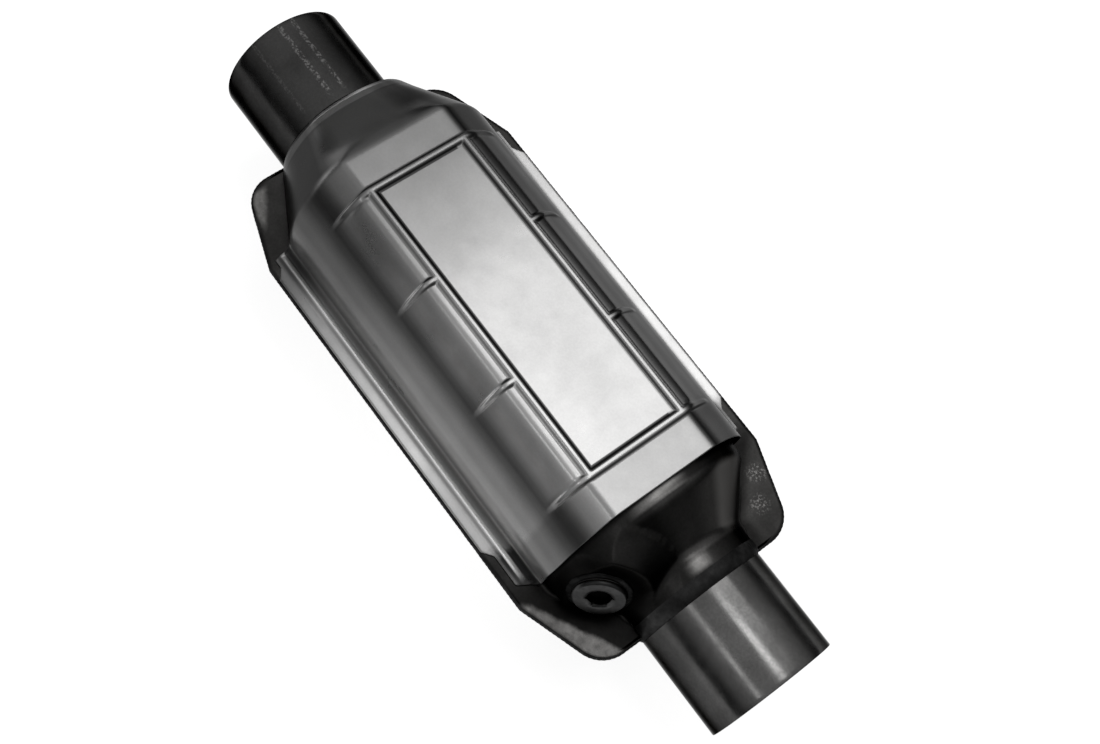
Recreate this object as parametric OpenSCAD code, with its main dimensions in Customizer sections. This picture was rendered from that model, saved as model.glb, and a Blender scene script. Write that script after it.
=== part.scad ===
// Catalytic converter with a round clamshell body, two embossed heat shields and a plugged sensor port.
// X runs along the pipes from the inlet to the outlet, and the shell halves part on the plane Z = 0.

/* [Pipes] */
// Outside diameter of both pipes
pipe_od = 63.5; // [57:0.1:68]
// Wall of both pipes
pipe_wall = 1.6; // [1.2:0.1:2.5]
// Length of pipe that stands out of each neck
pipe_reach = 55.2; // [40:0.1:75]
// Length of pipe inside each neck
pipe_insert = 11; // [8:0.5:11]
// Reduction of the pipe's radius where it is sized to fit the neck and its weld
pipe_sizing = 0.35; // [0.35:0.05:0.5]

/* [Substrate] */
// Diameter of the ceramic bricks
brick_d = 93; // [90:0.1:97]
// Length of each brick
brick_len = 84; // [78:0.5:86]
// Space between the two bricks
brick_space = 15; // [10:0.5:20]
// Width of one square channel
cell_size = 5.6; // [5.2:0.1:8]
// Wall between two channels
cell_wall = 1.1; // [1:0.1:2]
// Solid skin round the channels
brick_skin = 3; // [2:0.5:5]
// Thickness of the support mats
mat_thick = 4.8; // [3:0.1:5.5]
// Length of each wire seal
seal_len = 7; // [4:0.5:10]
// Bare length of brick between each wire seal and its mat
seal_space = 0.4; // [0.2:0.1:0.9]

/* [Shell] */
// Sheet of the shell halves
shell_wall = 1.5; // [1.2:0.1:2]
// Distance from a brick's outer end to the shoulder next to it
shoulder_space = 7.5; // [5:0.5:12]
// Length of each cone along the axis
cone_len = 22; // [20:0.5:28]
// Length of each neck
neck_len = 10.3; // [9:0.1:14]
// Bend radius of the shoulders
shoulder_bend = 10; // [6:0.5:12]
// Bend radius between cone and neck
neck_bend = 6; // [3:0.5:7]
// Width of the pinch flange outside the body
flange_w = 14.3; // [13.5:0.1:16]
// Distance from a shoulder back to where the ears start to narrow
ear_setback = 3.5; // [0:0.5:6]
// Amount by which an ear has narrowed at its square end
ear_narrowing = 13.9; // [11:0.1:16]
// Reach of the ears past the neck ends
ear_reach = 4.6; // [2:0.1:6]
// Corner radius of the ears
ear_round = 15; // [8:0.5:16]

/* [Welds] */
// Width of the weld along the flange edge
seam_w = 1; // [0.6:0.1:1.5]
// Length of the weld between a neck and its pipe
neck_weld_len = 6.7; // [6:0.1:8]
// Reach of the weld round the sensor bung
bung_weld_w = 2.4; // [1.5:0.1:3]

/* [Heat shields] */
// Sheet of the heat shields
shield_wall = 0.8; // [0.6:0.1:1]
// Air space between shell and shield at the sides
air_gap = 0.6; // [0.4:0.1:2]
// Height of a shield's arc centre over the parting plane
shield_lift = 7.7; // [6:0.1:9]
// Width of the flat top
flat_w = 53.7; // [48:0.1:56]
// Distance from the outlet shoulder back to the square cut end
cut_back = 5.1; // [3:0.1:8]
// Length of the shield's cone over the inlet end
shield_cone_len = 27.5; // [25:0.1:30]
// Radius at the small end of the shield's cone
shield_cone_r = 39; // [37:0.1:41]
// Length of the lip after the cone
lip_len = 6; // [4:0.1:8]
// Radius at the lip's free edge
lip_r = 36; // [35:0.1:36.8]
// Bend radius between shield body and cone
shield_bend = 6; // [3:0.5:8]
// Width of the edge strips that lie on the shell flange
strip_w = 12.7; // [11:0.1:13]
// Distance from the inlet shoulder to the start of the strips
strip_start = 14; // [8:0.5:18]
// Distance from the outlet shoulder back to the end of the strips
strip_end = 31; // [24:0.5:40]
// Length of the slanted cut at each strip end
strip_slant = 5.5; // [2:0.5:8]
// Distance from the foot of the shield to the middle of the bead next to it
ledge_w = 5; // [3.5:0.1:6]
// Radius of the bead along the ledge
foot_bead_r = 1.5; // [1.2:0.1:1.8]
// Distance from the outlet shoulder back to the end of ledge and bead
foot_bead_end = 9; // [6:0.5:16]

/* [Embossing] */
// Height of the pressed ribs over the sheet
rib_height = 1.4; // [1:0.1:1.6]
// Width of the flat along the crest of the ribs
rib_crest_w = 1.3; // [1:0.1:1.6]
// Distance from the inlet shoulder to the first cross rib
first_rib = 18; // [12:0.5:24]
// Distance from the outlet shoulder back to the last cross rib
last_rib_back = 24.6; // [18:0.1:28]
// Share of the ribbed length in the bay next to the inlet
inlet_bay_share = 0.317; // [0.28:0.001:0.36]
// Share of the ribbed length in the bay next to the outlet
outlet_bay_share = 0.327; // [0.28:0.001:0.36]
// Distance of the long ribs from the edge of the flat top
long_rib_inset = 2.3; // [2.3:0.1:4]
// Step down from the long ribs' crest to that of the side ribs
side_rib_step = 0.2; // [0.1:0.05:0.4]
// Radius of the arc on which the side ribs' crest runs down
side_rib_arc = 36; // [34:1:40]
// Turn from the top to the end of the side ribs
side_rib_turn = 52; // [49:1:55]

/* [Sensor port] */
// Turn of the port from the top towards the right side
port_turn = 65; // [60:0.5:67]
// Distance of the port from the outlet shoulder along the axis
port_station = 11; // [10:0.1:12.5]
// Radius of the flat pressed seat
seat_r = 22.5; // [18:0.5:24]
// Radius at the foot of the seat's skirt
seat_skirt_r = 29; // [25:0.5:31]
// Depth of the skirt under the seat
seat_skirt_depth = 7; // [5:0.5:9]
// Height of the seat over the cone
seat_rise = 2.4; // [1.5:0.1:3]
// Outside diameter of the bung
bung_d = 24; // [22:0.5:26]
// Height of the bung over its seat
bung_rise = 0.9; // [0.6:0.1:1.5]
// Length of the bung under its seat
bung_depth = 7; // [5:0.5:9]
// Diameter of the bung's hole
port_d = 16.4; // [14:0.1:17]
// Thickness of the sealing washer
gasket_thick = 0.5; // [0.3:0.1:1.2]
// Diameter of the plug's head
plug_head_d = 23.5; // [22:0.5:26]
// Thickness of the plug's head
plug_head_thick = 2; // [1.5:0.1:3]
// Chamfer round the plug's head
plug_chamfer = 0.7; // [0.3:0.1:1]
// Length of the plug's shank under its head
plug_shank_len = 9; // [7:0.5:11]
// Width across the flats of the plug's socket
socket_w = 10; // [8:0.5:11]
// Depth of the plug's socket
socket_depth = 6.5; // [4:0.5:8]

/* [Fits] */
// Clearance between pieces that fit into each other
fit_gap = 0.1; // [0.05:0.05:0.2]

/* [Hidden] */
$fn = 96;
// Straight pieces of each rounded profile corner
bend_steps = 5;
// Reach of a cutter past the face that it opens
over = 1;
// Edge of a block that holds any one half of the part
big = 600;

pipe_r = pipe_od / 2;
brick_far = brick_space / 2 + brick_len;
body_half = brick_far + shoulder_space;
cone_end = body_half + cone_len;
neck_end = cone_end + neck_len;
pipe_end = neck_end + pipe_reach;
sized_r = pipe_r - pipe_sizing;
neck_r = sized_r + fit_gap + shell_wall;
brick_r = brick_d / 2;
mat_in_r = brick_r + fit_gap;
mat_out_r = mat_in_r + mat_thick;
shell_in_r = mat_out_r + fit_gap;
shell_r = shell_in_r + shell_wall;
flange_half = shell_r + flange_w;
ear_end = neck_end + ear_reach;
cone_slope = atan2(shell_r - neck_r, cone_len);

shield_r = shell_r + air_gap + shield_wall;
flat_z = shield_lift + sqrt(shield_r * shield_r - flat_w * flat_w / 4);
cut_x = body_half - cut_back;
shield_cone_end = -body_half - shield_cone_len;
lip_end = shield_cone_end - lip_len;
crown_slope = atan2(flat_z - shield_lift - shield_cone_r, shield_cone_len);
bead_y = shield_r + ledge_w;
bead_end = body_half - foot_bead_end;

long_rib_y = flat_w / 2 - long_rib_inset;
rib_a = -body_half + first_rib;
rib_d = body_half - last_rib_back;
rib_b = rib_a + (rib_d - rib_a) * inlet_bay_share;
rib_c = rib_d - (rib_d - rib_a) * outlet_bay_share;
rib_stations = [rib_a, rib_b, rib_c, rib_d];
// Ends of a side rib's crest and the centre of its arc, as distance from the middle plane and height
side_rib_top = [long_rib_y, flat_z + rib_height - side_rib_step];
side_rib_foot = [0, shield_lift] + (shield_r - shield_wall / 2) * [sin(side_rib_turn), cos(side_rib_turn)];
side_rib_chord = side_rib_foot - side_rib_top;
side_rib_centre = (side_rib_top + side_rib_foot) / 2
    - [-side_rib_chord.y, side_rib_chord.x] / norm(side_rib_chord)
    * sqrt(side_rib_arc * side_rib_arc - side_rib_chord * side_rib_chord / 4);
side_rib_from = bearing(side_rib_top - side_rib_centre);
side_rib_to = bearing(side_rib_foot - side_rib_centre);

port_x = body_half + port_station;
bung_top = seat_rise + bung_rise;
gasket_top = bung_top + gasket_thick;
plug_top = gasket_top + plug_head_thick;

// Turn of a direction away from straight up
function bearing(v) = atan2(v.x, v.y);
function unit(v) = v / norm(v);
function left_normal(a, b) = let (u = unit(b - a)) [-u.y, u.x];
function turn(a, b, c) = (b.x - a.x) * (c.y - b.y) - (b.y - a.y) * (c.x - b.x);
// Radius of the outer cone face at a station along the axis
function cone_r(x) = shell_r + (neck_r - shell_r) * (x - body_half) / cone_len;

// A path moved to its right by d, with its corners kept parallel
function parallel_path(p, d) = [
    for (i = [0 : len(p) - 1])
        let (
            before = left_normal(p[max(i - 1, 0)], p[max(i, 1)]),
            after = left_normal(p[min(i, len(p) - 2)], p[min(i + 1, len(p) - 1)])
        )
        p[i] - d * (before + after) / (1 + before * after)
];

// The bend at corner b, from the leg towards a to the leg towards c
function bend_points(a, b, c, r) =
    let (
        u = unit(a - b),
        w = unit(c - b),
        half = acos(u * w) / 2,
        centre = b + unit(u + w) * r / sin(half),
        first = b + u * r / tan(half) - centre,
        last = b + w * r / tan(half) - centre,
        start = atan2(first.y, first.x),
        swing = (atan2(last.y, last.x) - start + 540) % 360 - 180
    )
    [for (i = [0 : bend_steps]) centre + r * [cos(start + swing * i / bend_steps), sin(start + swing * i / bend_steps)]];

// A path with its inner corners bent to the radii listed for them, each corrected for a shift d to the right
function bent_path(p, radii, d = 0) =
    let (q = parallel_path(p, d))
    [
        for (i = [0 : len(q) - 1])
            each radii[i] == 0 ? [q[i]] : bend_points(q[i - 1], q[i], q[i + 1],
                radii[i] + d * sign(turn(q[i - 1], q[i], q[i + 1])))
    ];

// Outside of the shell along the axis, as station and radius
shell_path = [
    [-neck_end, neck_r], [-cone_end, neck_r], [-body_half, shell_r],
    [body_half, shell_r], [cone_end, neck_r], [neck_end, neck_r]
];
shell_bends = [0, neck_bend, shoulder_bend, shoulder_bend, neck_bend, 0];

// Outside of a heat shield along the axis, measured from its own arc centre
shield_path = [[lip_end, lip_r], [shield_cone_end, shield_cone_r], [-body_half, shield_r], [cut_x, shield_r]];
shield_bends = [0, shield_bend, shield_bend, 0];

// Solid of a station and radius path turned round the X axis
module turned(path) {
    rotate([0, 90, 0])
        rotate_extrude()
            polygon(concat(
                [[0, path[0].x]],
                [for (p = path) [p.y, p.x]],
                [[0, path[len(path) - 1].x]]
            ));
}

// Plan of the same path, as wide on both sides of the axis
module plan(path) {
    polygon(concat(path, [for (i = [len(path) - 1 : -1 : 0]) [path[i].x, -path[i].y]]));
}

// A path with straight ends added, so that a cutter passes the faces that it opens
function lengthened(path) = concat(
    [path[0] - [over, 0]], path, [path[len(path) - 1] + [over, 0]]
);

module upper_half() {
    intersection() {
        children();
        translate([-big / 2, -big / 2, 0])
            cube(big);
    }
}

// Half outline of the flanges, grown outwards by g, from the middle station to the end of an ear
function ear_path(g) = bent_path(
    [
        [0, flange_half],
        [body_half - ear_setback, flange_half],
        [ear_end, flange_half - ear_narrowing],
        [ear_end, neck_r]
    ],
    [0, 0, ear_round, 0],
    -g
);

module flange_outline(g = 0) {
    half = ear_path(g);
    plan(concat(
        [for (i = [len(half) - 1 : -1 : 1]) [-half[i].x, half[i].y]],
        [for (i = [1 : len(half) - 1]) half[i]]
    ));
}

module at_port() {
    rotate([port_turn, 0, 0])
        translate([port_x, 0, cone_r(port_x)])
            rotate([0, cone_slope, 0])
                children();
}

// The pressed seat of the port, with its faces moved inwards by d
module port_seat(d) {
    intersection() {
        at_port()
            translate([0, 0, seat_rise - d - seat_skirt_depth])
                cylinder(h = seat_skirt_depth, r1 = seat_skirt_r - d, r2 = seat_r - d);
        rotate([0, 90, 0])
            cylinder(h = neck_end, r = shell_r - d);
    }
}

// Space for a neck's weld between the ears
module weld_space() {
    translate([neck_end, 0, 0])
        rotate([0, 90, 0])
            cylinder(h = ear_reach + over, r = neck_r + fit_gap);
}

module shell_half(with_port) {
    difference() {
        union() {
            upper_half()
                turned(bent_path(shell_path, shell_bends));
            linear_extrude(height = shell_wall)
                flange_outline();
            if (with_port)
                upper_half()
                    port_seat(0);
        }
        turned(lengthened(bent_path(shell_path, shell_bends, shell_wall)));
        for (side = [0, 1])
            mirror([side, 0, 0])
                weld_space();
        if (with_port) {
            port_seat(shell_wall);
            at_port()
                translate([0, 0, -bung_depth])
                    cylinder(h = bung_depth + seat_rise + over, r = bung_d / 2 + fit_gap);
        }
    }
}

module upper_shell() {
    color("dimgray")
        shell_half(with_port = true);
}

module lower_shell() {
    color("dimgray")
        mirror([0, 0, 1])
            shell_half(with_port = false);
}

// Everything under a plane that falls towards the inlet from the crown's edge at the inlet shoulder
module under_crown(d) {
    translate([-body_half, 0, flat_z - d])
        rotate([0, -crown_slope, 0])
            translate([-big / 2, -big / 2, -big - d * tan(crown_slope / 2)])
                cube([big, big, big]);
}

// Smooth solid that fills a heat shield, with its faces moved inwards by d and its open ends lengthened
module shield_fill(d) {
    smooth = bent_path(shield_path, shield_bends, d);
    path = d == 0 ? smooth : lengthened(smooth);
    intersection() {
        union() {
            translate([0, 0, shield_lift])
                upper_half()
                    turned(path);
            translate([0, 0, shell_wall - d])
                linear_extrude(height = shield_lift - shell_wall + d)
                    plan(path);
        }
        translate([-big / 2, -big / 2, flat_z - d - big])
            cube([big, big, big]);
        under_crown(d);
    }
}

// Height of a rib's crest over the sheet and half the crest's width, with the rib's faces moved inwards by d
function rib_top(d) = rib_height - d;
function rib_half(d) = rib_crest_w / 2 - d * tan(22.5);

// Wedge that ends at height top with half width c, and has flanks at 45 degrees that fall outwards or inwards
module wedge(c, top, low, fall) {
    far = c + fall * (top + low);
    polygon([[-far, -low], [-c, top], [c, top], [far, -low]]);
}

// Wedges along X and along Y, with half widths cx and cy at the top, where they cross
module crossed_wedges(cx, cy, top, low, fall) {
    translate([(rib_a + rib_d) / 2, 0, flat_z])
        intersection() {
            rotate([90, 0, 90])
                linear_extrude(height = big, center = true)
                    wedge(cy, top, low, fall);
            rotate([90, 0, 0])
                linear_extrude(height = big, center = true)
                    wedge(cx, top, low, fall);
        }
}

// The border that the ribs form on the flat top
module rib_border(d) {
    reach = (rib_d - rib_a) / 2;
    low = d + shield_wall / 2;
    half = rib_half(d);
    difference() {
        crossed_wedges(reach + half, long_rib_y + half, rib_top(d), low, 1);
        crossed_wedges(reach - half + over, long_rib_y - half + over, rib_top(d) + over, low + over, -1);
    }
}

// The ribs that run down the sides and sink into the sheet
module side_ribs(d) {
    half = rib_half(d);
    depth = rib_height + shield_wall / 2;
    crest = side_rib_arc - d;
    for (x = rib_stations, side = [0, 1])
        mirror([0, side, 0])
            translate([x, side_rib_centre.x, side_rib_centre.y])
                rotate([90, 0, 90])
                    rotate([0, 0, 90 - side_rib_to])
                        rotate_extrude(angle = side_rib_to - side_rib_from)
                            polygon([
                                [crest, -half], [crest, half],
                                [crest - depth, half + depth], [crest - depth, -half - depth]
                            ]);
}

// All pressed ribs, with their faces moved inwards by d
module ribs(d) {
    rib_border(d);
    side_ribs(d);
}

// Beads along both sides of a shield, at the outer edge of its ledges
module foot_bead_cores(r, extra = 0) {
    from = -body_half - extra;
    for (side = [-1, 1])
        translate([from, side * bead_y, shell_wall])
            rotate([0, 90, 0])
                cylinder(h = bead_end + extra - from, r = r);
}

// Ledges at the foot of a shield and the wider strips beyond its beads, which lie on the shell flange
module flange_strips() {
    inner = shield_r - shield_wall / 2;
    outer = shield_r + strip_w;
    from = -body_half + strip_start;
    to = body_half - strip_end;
    translate([0, 0, shell_wall])
        linear_extrude(height = shield_wall)
            for (side = [0, 1])
                mirror([0, side])
                    polygon([
                        [-body_half, inner], [bead_end, inner], [bead_end, bead_y], [to + strip_slant, bead_y],
                        [to, outer], [from, outer], [from - strip_slant, bead_y], [-body_half, bead_y]
                    ]);
}

module heat_shield() {
    difference() {
        union() {
            shield_fill(0);
            ribs(0);
            upper_half()
                foot_bead_cores(foot_bead_r);
            flange_strips();
        }
        shield_fill(shield_wall);
        ribs(shield_wall);
        foot_bead_cores(foot_bead_r - shield_wall, over);
        translate([-big / 2, -big / 2, shell_wall - big])
            cube(big);
    }
}

module upper_heat_shield() {
    color("silver")
        heat_shield();
}

module lower_heat_shield() {
    color("silver")
        mirror([0, 0, 1])
            heat_shield();
}

module pipe() {
    sized = pipe_insert + neck_weld_len;
    length = pipe_insert + pipe_reach;
    translate([neck_end - pipe_insert, 0, 0])
        rotate([0, 90, 0])
            difference() {
                union() {
                    cylinder(h = length, r = sized_r);
                    translate([0, 0, sized])
                        cylinder(h = length - sized, r = pipe_r);
                }
                translate([0, 0, -over])
                    cylinder(h = length + 2 * over, r = pipe_r - pipe_wall);
            }
}

module inlet_pipe() {
    color("gray")
        mirror([1, 0, 0])
            pipe();
}

module outlet_pipe() {
    color("gray")
        pipe();
}

// Fillet weld on the end of a neck, round the pipe
module neck_weld() {
    foot = sized_r + fit_gap;
    rotate([0, 90, 0])
        rotate_extrude()
            polygon([
                [foot, neck_end], [neck_r, neck_end],
                [(foot + 2 * neck_r) / 3, neck_end + neck_weld_len / 2],
                [pipe_r + fit_gap, neck_end + neck_weld_len], [foot, neck_end + neck_weld_len]
            ]);
}

module inlet_weld() {
    color("darkslategray")
        mirror([1, 0, 0])
            neck_weld();
}

module outlet_weld() {
    color("darkslategray")
        neck_weld();
}

// Weld along the edges of both flanges, on the side with Y positive
module flange_weld() {
    translate([0, 0, -shell_wall])
        linear_extrude(height = 2 * shell_wall)
            difference() {
                flange_outline(seam_w);
                flange_outline();
                translate([-big / 2, neck_r + fit_gap - big])
                    square(big);
            }
}

module left_flange_weld() {
    color("darkslategray")
        flange_weld();
}

module right_flange_weld() {
    color("darkslategray")
        mirror([0, 1, 0])
            flange_weld();
}

// Honeycomb brick with square channels along the axis
module brick() {
    pitch = cell_size + cell_wall;
    reach = brick_r - brick_skin - cell_size / sqrt(2);
    rows = floor(reach / pitch);
    translate([brick_space / 2, 0, 0])
        rotate([0, 90, 0])
            linear_extrude(height = brick_len)
                difference() {
                    circle(r = brick_r);
                    for (i = [-rows : rows], j = [-rows : rows])
                        if (norm([i, j]) * pitch <= reach)
                            translate([i * pitch, j * pitch])
                                square(cell_size, center = true);
                }
}

module front_brick() {
    color("tan")
        mirror([1, 0, 0])
            brick();
}

module rear_brick() {
    color("tan")
        brick();
}

// Ring between brick and shell, from one station to another
module wrap(from, to) {
    translate([from, 0, 0])
        rotate([0, 90, 0])
            difference() {
                cylinder(h = to - from, r = mat_out_r);
                translate([0, 0, -over])
                    cylinder(h = to - from + 2 * over, r = mat_in_r);
            }
}

module mat() {
    wrap(brick_space / 2, brick_far - seal_len - seal_space);
}

module front_mat() {
    color("wheat")
        mirror([1, 0, 0])
            mat();
}

module rear_mat() {
    color("wheat")
        mat();
}

module seal() {
    wrap(brick_far - seal_len, brick_far);
}

module front_seal() {
    color("slategray")
        mirror([1, 0, 0])
            seal();
}

module rear_seal() {
    color("slategray")
        seal();
}

module sensor_bung() {
    color("gray")
        at_port()
            translate([0, 0, seat_rise - bung_depth])
                difference() {
                    cylinder(h = bung_depth + bung_rise, r = bung_d / 2);
                    translate([0, 0, -over])
                        cylinder(h = bung_depth + bung_rise + 2 * over, r = port_d / 2);
                }
}

// Fillet weld between the bung and its seat
module bung_weld() {
    foot = bung_d / 2 + fit_gap;
    color("darkslategray")
        at_port()
            translate([0, 0, seat_rise])
                rotate_extrude()
                    polygon([
                        [foot, 0], [foot + bung_weld_w, 0],
                        [foot + bung_weld_w / 2, bung_rise * 2 / 3], [foot, bung_rise]
                    ]);
}

module plug_gasket() {
    color("peru")
        at_port()
            translate([0, 0, bung_top])
                difference() {
                    cylinder(h = gasket_thick, r = plug_head_d / 2 - plug_chamfer);
                    translate([0, 0, -over])
                        cylinder(h = gasket_thick + 2 * over, r = port_d / 2);
                }
}

module sensor_plug() {
    head_r = plug_head_d / 2;
    shank_r = port_d / 2 - fit_gap;
    color("darkgray")
        at_port()
            difference() {
                rotate_extrude()
                    polygon([
                        [0, gasket_top - plug_shank_len], [shank_r - plug_chamfer, gasket_top - plug_shank_len],
                        [shank_r, gasket_top - plug_shank_len + plug_chamfer], [shank_r, gasket_top],
                        [head_r, gasket_top], [head_r, plug_top - plug_chamfer],
                        [head_r - plug_chamfer, plug_top], [0, plug_top]
                    ]);
                translate([0, 0, plug_top - socket_depth])
                    cylinder(h = socket_depth + over, r = socket_w / sqrt(3), $fn = 6);
            }
}

upper_shell();
lower_shell();
upper_heat_shield();
lower_heat_shield();
inlet_pipe();
outlet_pipe();
inlet_weld();
outlet_weld();
left_flange_weld();
right_flange_weld();
front_brick();
rear_brick();
front_mat();
rear_mat();
front_seal();
rear_seal();
sensor_bung();
bung_weld();
plug_gasket();
sensor_plug();
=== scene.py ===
import math

import bmesh
import bpy
import numpy as np
from mathutils import Matrix, Vector, noise


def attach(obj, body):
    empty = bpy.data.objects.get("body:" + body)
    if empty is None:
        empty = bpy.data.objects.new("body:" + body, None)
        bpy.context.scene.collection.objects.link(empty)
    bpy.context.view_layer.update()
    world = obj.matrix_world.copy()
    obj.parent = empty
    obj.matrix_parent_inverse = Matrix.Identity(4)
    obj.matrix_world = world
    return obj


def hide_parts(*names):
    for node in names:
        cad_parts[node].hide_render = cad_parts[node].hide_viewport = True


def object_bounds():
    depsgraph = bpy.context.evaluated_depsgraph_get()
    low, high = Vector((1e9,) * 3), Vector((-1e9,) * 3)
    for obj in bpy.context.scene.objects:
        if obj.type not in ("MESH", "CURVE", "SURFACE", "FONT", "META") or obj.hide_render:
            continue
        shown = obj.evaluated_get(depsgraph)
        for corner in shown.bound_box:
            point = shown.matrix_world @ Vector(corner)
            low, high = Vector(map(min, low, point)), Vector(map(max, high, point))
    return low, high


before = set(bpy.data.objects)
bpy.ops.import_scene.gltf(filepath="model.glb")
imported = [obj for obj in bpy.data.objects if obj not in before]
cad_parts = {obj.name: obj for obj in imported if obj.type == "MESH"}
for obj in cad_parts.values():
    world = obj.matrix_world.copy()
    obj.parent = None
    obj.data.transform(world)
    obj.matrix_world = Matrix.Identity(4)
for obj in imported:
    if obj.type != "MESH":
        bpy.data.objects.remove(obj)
cad_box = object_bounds()

# Lengths are millimetres in the part's own frame, unless a name says otherwise.
MM = 0.001

# Pipes
PIPE_R = 31.75
PIPE_WALL = 1.6
PIPE_END = 186.5
PIPE_INNER_END = 120.3
SIZED_R = 31.4
SIZED_STEP = 0.3
RIM_OUTSIDE = 0.4
RIM_INSIDE = 0.3

# Shell
SHELL_WALL = 1.5
SHELL_R = 53
NECK_R = 33
BODY_HALF = 99
CONE_END = 121
NECK_END = 131.3
SHOULDER_BEND = 10
NECK_BEND = 6
FOOT_BEND = 3
FOOT_BEND_LEAST = 0.3
FOOT_BEND_RUNOUT = 7
FOOT_SINK = 0.3
SHELL_CREASE = 50

# Flange plates, with the ears at their ends
FLANGE_HALF = 67.3
EAR_FROM = 95.5
EAR_END = 135.9
EAR_NARROWING = 13.9
EAR_ROUND = 15
EAR_CORNER = 4
EAR_POINTS = 320
PLATE_LAP = 1
PLATE_GAP = 0.1
# Section of a plate: share of its width, shift beyond its edge, and height
PLATE_SECTION = (
    (0, 0, SHELL_WALL), (0.5, 0, SHELL_WALL), (1, -1.2, SHELL_WALL), (1, -0.35, SHELL_WALL),
    (1, -0.08, SHELL_WALL - 0.12), (1, 0, SHELL_WALL - 0.4), (1, 0, 0), (0, 0, 0))

# Weld along the edge of the flanges
SEAM_W = 1
SEAM_HALF = 1.55
SEAM_SINK = 0.15
SEAM_STEP = 0.55
SEAM_FULLNESS = 0.7
SEAM_RIPPLE = 0.06
SEAM_RIPPLE_LEN = 2.2
SEAM_UNEVEN = 0.10
SEAM_WAVE_LEN = 6
SEAM_RIPPLE_HIGH = 0.4

# Welds round the pipes
WELD_LEN = 6.7
WELD_LAP = 0.4
WELD_FILM = 0.1
WELD_CROWN = 0.35
WELD_UNEVEN = 0.22
WELD_RAGGED = 0.5
WELD_CROWN_START = 0.08
WELD_FULLNESS = 0.6

# Heat shields
SHIELD_WALL = 0.8
SHIELD_R = 54.4
SHIELD_LIFT = 7.7
FLAT_HALF = 26.85
CUT_X = 93.9
CONE_X = -99
COLLAR_X = -126.5
COLLAR_R = 39
LIP_X = -132.5
LIP_R = 36
COLLAR_BEND = 6
TOP_BEND = 10
# Rounding of the folds beside the flat top
FOLD = 1
FOLD_ON_CONE = 9
FOLD_RUN = 12
# Swelling of the sides between the end ribs, by degrees from the middle
BAY_EDGE = (-2, 4)
BAY_SWELL = 1.7
SWELL_IN = (26, 32)
SWELL_OUT = (32, 53)
# The cut end runs back towards its foot, over these heights
END_LEAN = 1.4
END_LEAN_RUN = 20
END_LEAN_HEIGHTS = (2, 32)

# Feet of the shields: ledge, bead and the strips that lie on the flange
LEDGE_Z = 2.3
LEDGE_ROUND = 3.6
BEAD_Y = 59.9
BEAD_HIGH = 0.32
BEAD_HALF = 1.6
BEAD_TO = 86
BEAD_REACH = (-1.8, 3.2)
BEAD_IN = (CONE_X - 1, CONE_X + 4)
BEAD_OUT = (BEAD_TO - 12, BEAD_TO + 4)
LEDGE_IN = (CONE_X - 1.5, CONE_X + 1.5)
LEDGE_OUT = (BEAD_TO + 1, CUT_X)
LEDGE_LOSS = 0.9
FOOT_TOP = SHIELD_LIFT - 0.6
FOOT_FLARE = 0.02
STRIP_EDGE = 67.1
STRIP_LEAST = 0.3
STRIP_SLANT = 5
# Ends of the strips at their outer edge, on the side of the port and on the other one
STRIP_ENDS = {-1: (-88.5, 66.1), 1: (-81.7, 70.4)}
# Section of a strip: share of its width, and how far it lies below the ledge
STRIP_SECTION = ((0.05, 0), (0.2, 0), (0.5, 0), (0.8, 0), (0.94, 0.02), (0.985, 0.15), (1, 0.8))

# Pressed ribs, whose sides grow narrower and lower towards their ends
RIB_STATIONS = (-81, -31.7, 23.6, 74.4)
RIB_Y = 24.55
RIB_H = 1.3
RIB_CREST = 0.55
RIB_FOOT = 2.7
SIDE_RIB_END = 44.5
RIB_RUNOUT = 6
CREST_LOSS = 0.4
FOOT_LOSS = 0.55
HEIGHT_LOSS = 0.45

# Sensor port
PORT_TURN = math.radians(65)
PORT_X = 110
PORT_REACH = 34
PORT_DEPTH = 16
SEAT_RISE = 2.4
SEAT_R = 22.5
SEAT_SKIRT = 6.5
SEAT_DEPTH = 7
SEAT_BLEND = 4
SEAT_SINK = 0.25
BUNG_R = 12
BUNG_BORE_R = 8.2
BUNG_DEPTH = 7
BUNG_TOP = 3.3
BUNG_CHAMFER = 0.3
BORE_CHAMFER = 0.2
BEAD_W = 2.4
BEAD_RISE = 0.85
BEAD_RIPPLES = 30
BEAD_RIPPLE = 0.02
BEAD_UNEVEN = 0.15
BEAD_UNEVEN_HIGH = 0.10
GASKET_TOP = 3.8
GASKET_R = 11
GASKET_BULGE = 0.15

# Sensor plug
PLUG_TOP = 5.8
PLUG_R = 11.75
PLUG_CHAMFER = 0.7
PLUG_UNDERCUT = 0.2
PLUG_ROUND = 0.1
PLUG_AXIS_R = 0.01
SHANK_R = 8.1
SHANK_LEN = 9
SOCKET_W = 10
SOCKET_DEPTH = 6.5
SOCKET_POINT = 0.6
# Section of the socket: radius, depth below the plug's top, and how far the section is six-sided
SOCKET_SECTION = (
    (7.4, 0, 0), (6.6, 0.05, 0), (6.1, 0.35, 0.35), (5.6, 0.9, 1), (5.6, SOCKET_DEPTH, 1),
    (3.2, SOCKET_DEPTH, 0.4), (PLUG_AXIS_R, SOCKET_DEPTH + SOCKET_POINT, 0))

# Spacing of points: fine step, coarse step, and how far the fine steps reach from a mark
SHIELD_STEPS = (0.45, 3.2, 3)
SHIELD_TURN_STEPS = (0.4, 2.4, 3.6)
SHIELD_TURN_MARK = 50
FOLD_BAND = 3
SHELL_STEPS = (0.8, 6, 8)
SHELL_PORT_MARKS = [104, 110, 116, 126]
SHELL_COLUMNS = 150
WIDENING = 0.5

# Slow unevenness of pressed sheet: how far points move, and its wavelength
SHIELD_WOBBLE = (0.10, 22)
SHELL_WOBBLE = (0.12, 16)

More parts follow.
